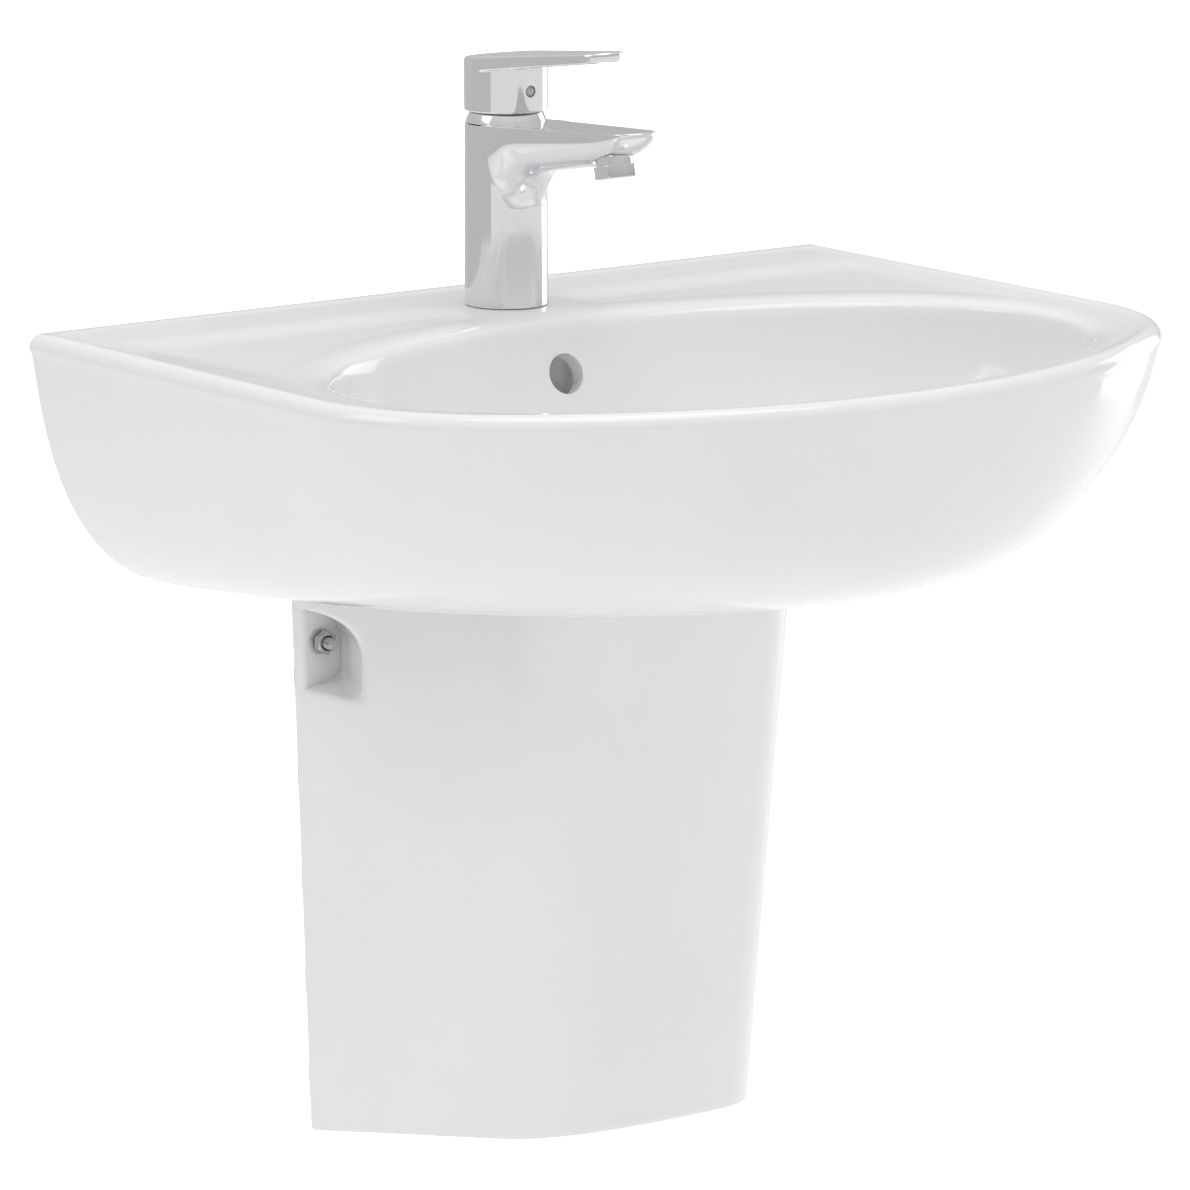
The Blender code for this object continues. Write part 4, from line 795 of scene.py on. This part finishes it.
def mixerField(points):
    m = mixer
    x, y, z = points[:, 0], points[:, 1] - tapY, points[:, 2]
    out = -y
    wide = m["radius"] + (m["topRadius"] - m["radius"]) * z / m["top"]
    barrel = np.hypot(x, y) - wide
    roof = m["top"] + m["rise"] * np.maximum(out, 0)
    belly = np.interp(out, [0, 26, 45, 70, 95, 111, 125, 141], [76, 81, 85.5, 90, 94.5, 98.5, 104.5, 112.5])
    depth = np.maximum(roof - belly, 4)
    drop = np.clip((roof - z) / depth, 0, 1.6)
    plan = taperedPlan(x, y, m["radius"], m["tip"], m["reach"] - m["tip"])
    half = np.interp(out, [0, 125], [m["radius"], m["tip"]])
    across = np.clip((plan + half) / half, 0, 3)
    hull = ((across ** 2.3 + drop ** 2.5) ** (1 / 2.4) - 1) * np.minimum(half, depth)
    spout = np.where(out < -4, 30.0, hull)
    flow = smoothStep(5, 30, out)
    body = blendMin(barrel, spout, 0.4 + m["fillet"] * flow)
    body = blendMax(body, z - roof, m["crown"])
    cone = np.hypot(x, y) - np.interp(z, [m["top"] + 0.4, m["collarHigh"]], [m["collarFoot"], m["collarTop"]]) - 0.5
    body = blendMax(body, -np.maximum(cone, m["top"] - 0.1 - z), 0.5)
    body = blendMax(body, m["foot"] - z, 0.5)
    recess = np.maximum(np.hypot(x, y) - m["sealRadius"] - 0.4, z - m["seat"])
    tilt = math.radians(m["aeratorTilt"])
    ay, az = y + m["aeratorOut"], z - m["aeratorZ"]
    along, up = ay * math.cos(tilt) + az * math.sin(tilt), az * math.cos(tilt) - ay * math.sin(tilt)
    round2 = np.hypot(x, along)
    land = np.maximum(round2 - m["aeratorRadius"] - 0.9, up - 0.3)
    socket = np.maximum(round2 - 11.3, up - 8)
    body = blendMax(body, -np.minimum(land, socket), 0.5)
    bore = np.maximum(np.hypot(x, y) - m["bore"], m["boreFoot"] - z)
    chamber = np.maximum(np.hypot(x, y) - m["chamber"], z - m["chamberTop"])
    return np.maximum(body, -np.minimum(np.minimum(bore, chamber), recess))


settle(skin("mixerBody", mixerField, (-27, tapY - 142, -2), (27, tapY + 27, 121), mixer["cell"],
            materials["chromePlate"]), "fixed", "chrome", "mixer_body")

tapAt = (0, tapY, 0)
sealLow, sealHigh = ((corner.z - rimZ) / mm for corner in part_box("mixer_base_seal"))
settle(turned("baseSeal", [
    (mixer["sealRadius"], sealHigh, 0.15), (mixer["sealRadius"], sealLow, 0.15), (18, sealLow, 0.15),
    (18, sealHigh, 0.15),
], tapAt, materials["nitrileRubber"], segments=96), "fixed", "black_rubber", "mixer_base_seal")
settle(turned("collarRing", [
    (16, 118.2, 0.3), (mixer["collarTop"], 118.2, 0.6), (mixer["collarFoot"], 111.8, 0.25), (16, 111.8, 0.3),
], tapAt, materials["chromePlate"], segments=128), "fixed", "chrome", "collar_ring")

tilt = Matrix.Rotation(-math.radians(mixer["aeratorTilt"]), 3, "X")
aeratorAt = (0, tapY - mixer["aeratorOut"], mixer["aeratorZ"])
settle(turned("aeratorRing", [
    (9.5, 6, 0.2), (11, 6, 0.3), (11, 0, 0.1), (13, 0, 0.35), (13, -8, 0.7), (10.6, -8, 0.5), (9.5, -6.8, 0.4),
], aeratorAt, materials["chromePlate"], tilt, 96), "fixed", "chrome", "aerator_housing")


# node trees that stand grip ribs round turned pieces and wind screw threads on rods

def groupInput(tree, name, kind, value=None):
    socket = tree.interface.new_socket(name=name, in_out="INPUT", socket_type=kind)
    if value is not None:
        socket.default_value = value
    return socket.identifier


def newTree(name, inputs):
    tree = bpy.data.node_groups.new(name, "GeometryNodeTree")
    tree.interface.new_socket(name="Geometry", in_out="OUTPUT", socket_type="NodeSocketGeometry")
    ids = {"Geometry": groupInput(tree, "Geometry", "NodeSocketGeometry")}
    for key, (kind, value) in inputs.items():
        ids[key] = groupInput(tree, key, kind, value)
    start = tree.nodes.new("NodeGroupInput")
    end = tree.nodes.new("NodeGroupOutput")
    return tree, ids, start.outputs, end


def runTree(piece, tree, ids, values):
    modifier = piece.modifiers.new(tree.name, "NODES")
    modifier.node_group = tree
    for key, value in values.items():
        modifier[ids[key]] = value
    return finishMesh(piece)


def ribTree():
    # ribs stood round a circle and joined to the turned piece they grip
    floatKind, intKind = "NodeSocketFloat", "NodeSocketInt"
    tree, ids, given, end = newTree("gripRibs", {
        "Ribs": (intKind, 24), "Circle Radius": (floatKind, 0.02), "Rib Width": (floatKind, 0.0015),
        "Rib Depth": (floatKind, 0.001), "Rib Length": (floatKind, 0.01), "Lift": (floatKind, 0.0),
        "Finish": ("NodeSocketMaterial", None)})
    ring = addNode(tree, "GeometryNodeMeshCircle", {}, {"Vertices": given["Ribs"], "Radius": given["Circle Radius"]})
    size = addNode(tree, "ShaderNodeCombineXYZ", {}, {
        "X": given["Rib Depth"], "Y": given["Rib Width"], "Z": given["Rib Length"]})
    bar = addNode(tree, "GeometryNodeMeshCube", {}, {"Size": size.outputs[0]})
    shift = addNode(tree, "ShaderNodeCombineXYZ", {}, {"Z": given["Lift"]})
    moved = addNode(tree, "GeometryNodeTransform", {}, {"Geometry": bar.outputs["Mesh"],
                                                       "Translation": shift.outputs[0]})
    where = addNode(tree, "GeometryNodeInputPosition")
    face = addNode(tree, "FunctionNodeAlignRotationToVector", {"axis": "X"}, {"Vector": where.outputs[0]})
    stood = addNode(tree, "GeometryNodeInstanceOnPoints", {}, {
        "Points": ring.outputs["Mesh"], "Instance": moved.outputs[0], "Rotation": face.outputs[0]})
    real = addNode(tree, "GeometryNodeRealizeInstances", {}, {0: stood.outputs[0]})
    both = addNode(tree, "GeometryNodeJoinGeometry")
    tree.links.new(given["Geometry"], both.inputs[0])
    tree.links.new(real.outputs[0], both.inputs[0])
    painted = addNode(tree, "GeometryNodeSetMaterial", {}, {"Geometry": both.outputs[0],
                                                           "Material": given["Finish"]})
    tree.links.new(painted.outputs[0], end.inputs[0])
    return tree, ids


def threadTree():
    # a helical ridge wound on a rod
    floatKind = "NodeSocketFloat"
    tree, ids, given, end = newTree("screwThread", {
        "Thread Radius": (floatKind, 0.004), "Thread Length": (floatKind, 0.02), "Turns": (floatKind, 16.0),
        "Ridge": (floatKind, 0.0005), "Finish": ("NodeSocketMaterial", None)})
    wound = addNode(tree, "GeometryNodeCurveSpiral", {}, {
        "Resolution": 28, "Rotations": given["Turns"], "Start Radius": given["Thread Radius"],
        "End Radius": given["Thread Radius"], "Height": given["Thread Length"]})
    ridge = addNode(tree, "GeometryNodeCurvePrimitiveCircle", {}, {"Resolution": 4, "Radius": given["Ridge"]})
    solid = addNode(tree, "GeometryNodeCurveToMesh", {}, {
        "Curve": wound.outputs[0], "Profile Curve": ridge.outputs[0], "Fill Caps": True})
    both = addNode(tree, "GeometryNodeJoinGeometry")
    tree.links.new(given["Geometry"], both.inputs[0])
    tree.links.new(solid.outputs[0], both.inputs[0])
    real = addNode(tree, "GeometryNodeRealizeInstances", {}, {0: both.outputs[0]})
    painted = addNode(tree, "GeometryNodeSetMaterial", {}, {"Geometry": real.outputs[0],
                                                           "Material": given["Finish"]})
    tree.links.new(painted.outputs[0], end.inputs[0])
    return tree, ids


ribs, ribIds = ribTree()
threads, threadIds = threadTree()

lever = dict(hub=25.8, tip=14.5, reach=109, foot=119, top=153.3, topRise=0.11, under=143.8, underRise=0.14,
             skirt=2.5, cavity=10, edge=1.5, socket=3.8, spindleTop=137.8, indicatorZ=132.6, hole=3.3, cell=0.8)


def leverField(points):
    p = lever
    x, y, z = points[:, 0], points[:, 1] - tapY, points[:, 2]
    out = np.maximum(-y, -26)
    plan = taperedPlan(x, y, p["hub"], p["tip"], p["reach"] - p["tip"])
    roof = p["top"] + p["topRise"] * out
    floorZ = p["under"] + p["underRise"] * out
    plate = blendMax(blendMax(plan, (z - roof) * 0.994, p["edge"] * 1.6), (floorZ - z) * 0.99, p["edge"])
    hub = blendMax(np.hypot(x, y) - p["hub"], z - roof + 3, 0.5)
    whole = blendMin(plate, hub, 0.6)
    whole = blendMax(whole, p["foot"] - z, 1.2)
    cavity = blendMax(np.hypot(x, y) - p["hub"] + p["skirt"], z - p["foot"] - p["cavity"], 1)
    socket = np.maximum(np.maximum(np.abs(x), np.abs(y)) - p["socket"], z - p["spindleTop"])
    hole = np.maximum(np.hypot(x, z - p["indicatorZ"]) - p["hole"], y + 2)
    return blendMax(whole, -np.minimum(np.minimum(cavity, socket), hole), 0.5)


settle(skin("leverHandle", leverField, (-27, tapY - 110, 118), (27, tapY + 27, 167), lever["cell"],
            materials["chromePlate"]), "lever", "chrome", "lever_handle", "lever_skirt")

indicatorAt = (0, tapY, lever["indicatorZ"])
settle(turned("indicatorDot", [
    (0, 25.5, 0), (2.3, 25.4, 0.2), (2.6, 24.9, 0.1), (3.0, 24.9, 0.1), (3.0, 22, 0.2), (0, 22, 0),
], indicatorAt, materials["indicatorInsert"], towardUser, 48), "lever", "indicator_plastic", "indicator_plug")
print("mixer made")


wasteAt = (0, drainY, 0)
flangeTop = (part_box("waste_body")[1].z - rimZ) / mm
settle(turned("plugCap", [
    (0, flangeTop + 4.8, 0), (12, flangeTop + 4.6, 0), (27.8, flangeTop + 2.6, 3), (29.5, flangeTop + 1.4, 0.8),
    (29.5, flangeTop + 0.3, 0.3), (0, flangeTop + 0.3, 0),
], wasteAt, materials["chromePlate"], segments=128), "waste_plug", "chrome", "plug_cap")


fixing = dict(core=3.4, tip=2.9, ridge=0.5, studEnd=27, washer=8, washerThick=1.6,
              nutFlats=13, nutHigh=6.5, pitch=1.25)


def hexNut(name, at, flats, bore, low, high, material):
    # a hexagon whose corners are turned off by a cone at each end
    sides, rows = 96, []
    for k in range(sides):
        angle = 2 * math.pi * k / sides
        wedge = (angle + math.pi / 6) % (math.pi / 3) - math.pi / 6
        rows.append((angle, flats / 2 / math.cos(wedge)))
    corner = flats / 2 / math.cos(math.pi / 6)
    levels = []
    for z in np.linspace(low, high, 9):
        edge = min(z - low, high - z)
        turnedOff = corner - max(0, 0.9 - edge) * 1.7
        levels.append([(min(r, turnedOff) * math.cos(a), min(r, turnedOff) * math.sin(a), z) for a, r in rows])
    for z, r in ((high, bore + 0.7), (high - 0.7, bore), (low + 0.7, bore), (low, bore + 0.7)):
        levels.append([(r * math.cos(a), r * math.sin(a), z) for a, _ in rows])
    where = Matrix.Translation(at) @ towardUser.to_4x4()
    points = [where @ Vector(p) for level in levels for p in level]
    piece = makeObject(name, points, gridFaces(len(levels), sides, True), material, 0)
    outward(piece)
    piece.data.shade_smooth()
    piece.data.set_sharp_from_angle(angle=math.radians(22))
    return piece


for side, label in ((-1, "left"), (1, "right")):
    at = Vector((side * pedestal["boltX"], 0, pedestal["boltZ"]))
    seat = pedestal["ear"] + 0.3
    stud = turned("pedestalStud." + label, [
        (0, fixing["studEnd"], 0), (fixing["tip"], fixing["studEnd"], 0.2),
        (fixing["core"], fixing["studEnd"] - 0.7, 0.1), (fixing["core"], 0, 0.2), (0, 0, 0)],
        (0, 0, 0), materials["zincPlate"], segments=40)
    stud.data.transform(Matrix.Translation((0, 0, -rimZ)))
    threadLong = fixing["studEnd"] - 1.2
    runTree(stud, threads, threadIds, {
        "Thread Radius": (fixing["core"] + 0.05) * mm, "Thread Length": threadLong * mm,
        "Turns": threadLong / fixing["pitch"], "Ridge": fixing["ridge"] * mm, "Finish": materials["zincPlate"]})
    stud.data.transform(Matrix.Translation(at * mm + Vector((0, 0, rimZ))) @ towardUser.to_4x4())
    settle(stud, "fixed", "zinc_plated_steel", "pedestal_bolt_" + label)
    settle(turned("pedestalWasher." + label, [
        (4.4, seat + fixing["washerThick"], 0.2), (fixing["washer"], seat + fixing["washerThick"], 0.4),
        (fixing["washer"], seat, 0.2), (4.4, seat, 0.2)], at, materials["zincPlate"], towardUser, 64),
        "fixed", "zinc_plated_steel", "pedestal_washer_" + label)
    low = seat + fixing["washerThick"] + 0.3
    settle(hexNut("pedestalNut." + label, at, fixing["nutFlats"], 4.3, low, low + fixing["nutHigh"],
                  materials["zincPlate"]), "fixed", "zinc_plated_steel", "pedestal_nut_" + label)
print("fixings made")


trap = dict(nutRibs=28, ribWidth=1.6, ribDepth=2.4, cupRibs=40, cupRibWidth=1.8, cupRibLength=20)


def localBox(node):
    return [(corner.x / mm, corner.y / mm, (corner.z - rimZ) / mm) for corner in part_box(node)]


def gripNut(name, node, radius, profile, turn, at, low, high):
    nut = turned(name, profile, (0, 0, 0), materials["mouldedPlastic"], segments=96)
    nut.data.transform(Matrix.Translation((0, 0, -rimZ)))
    runTree(nut, ribs, ribIds, {
        "Ribs": trap["nutRibs"], "Circle Radius": (radius - 1.3) * mm, "Rib Width": trap["ribWidth"] * mm,
        "Rib Depth": trap["ribDepth"] * mm, "Rib Length": (high - low) * mm, "Lift": (high + low) / 2 * mm,
        "Finish": materials["mouldedPlastic"]})
    place = Matrix.Translation(Vector(at) * mm + Vector((0, 0, rimZ)))
    nut.data.transform(place @ (turn.to_4x4() if turn else Matrix.Identity(4)))
    nut.data.shade_smooth()
    nut.data.set_sharp_from_angle(angle=math.radians(30))
    return settle(nut, "fixed", "white_plastic", node)


(_, y0, z0), (_, y1, z1) = localBox("trap_inlet_nut")
gripNut("inletNut", "trap_inlet_nut", 25.5, [
    (21.1, z1, 0.3), (24.6, z1, 0.8), (24.6, z0, 0.8), (16.3, z0, 0.3), (16.3, z0 + 2.5, 0.2),
    (21.1, z0 + 2.5, 0.3)], None, wasteAt, z0 + 1.5, z1 - 1.5)
(_, y0, z0), (_, y1, z1) = localBox("trap_outlet_nut")
outletZ = (z0 + z1) / 2
gripNut("outletNut", "trap_outlet_nut", 23, [
    (17.8, -y0, 0.3), (22.1, -y0, 0.8), (22.1, -y1, 0.8), (16.3, -y1, 0.3), (16.3, -y1 + 2.4, 0.2),
    (17.8, -y1 + 2.4, 0.3)], towardUser, (0, 0, outletZ), -y1 + 1.5, -y0 - 1.5)
(_, _, z0), (_, _, z1) = localBox("trap_cup")
cup = turned("trapCup", [
    (0, z0 + 2.5, 0), (25, z0 + 4, 3), (27.5, z0 + 9, 3), (27.5, z1 - 19.3, 0.2), (30.3, z1 - 19.3, 0.2),
    (30.3, z1, 0.3), (33, z1, 0.8), (33, z0 + 10, 4), (27, z0, 5), (0, z0, 0)],
    (0, 0, 0), materials["mouldedPlastic"], segments=120)
cup.data.transform(Matrix.Translation((0, 0, -rimZ)))
runTree(cup, ribs, ribIds, {
    "Ribs": trap["cupRibs"], "Circle Radius": 31.6 * mm, "Rib Width": trap["cupRibWidth"] * mm,
    "Rib Depth": trap["ribDepth"] * mm, "Rib Length": trap["cupRibLength"] * mm, "Lift": (z1 - 13) * mm,
    "Finish": materials["mouldedPlastic"]})
cup.data.transform(Matrix.Translation(Vector(wasteAt) * mm + Vector((0, 0, rimZ))))
cup.data.shade_smooth()
cup.data.set_sharp_from_angle(angle=math.radians(30))
settle(cup, "fixed", "white_plastic", "trap_cup")
settle(turned("wallRosette", [
    (16.3, 9, 0.4), (19, 9, 0.8), (26, 6.2, 5), (33.2, 2.4, 3), (34, 1, 0.5), (34, 0, 0.2), (16.3, 0, 0.2)],
    (0, 0, outletZ), materials["chromePlate"], towardUser, 120), "fixed", "chrome", "wall_rosette")
print("trap made")
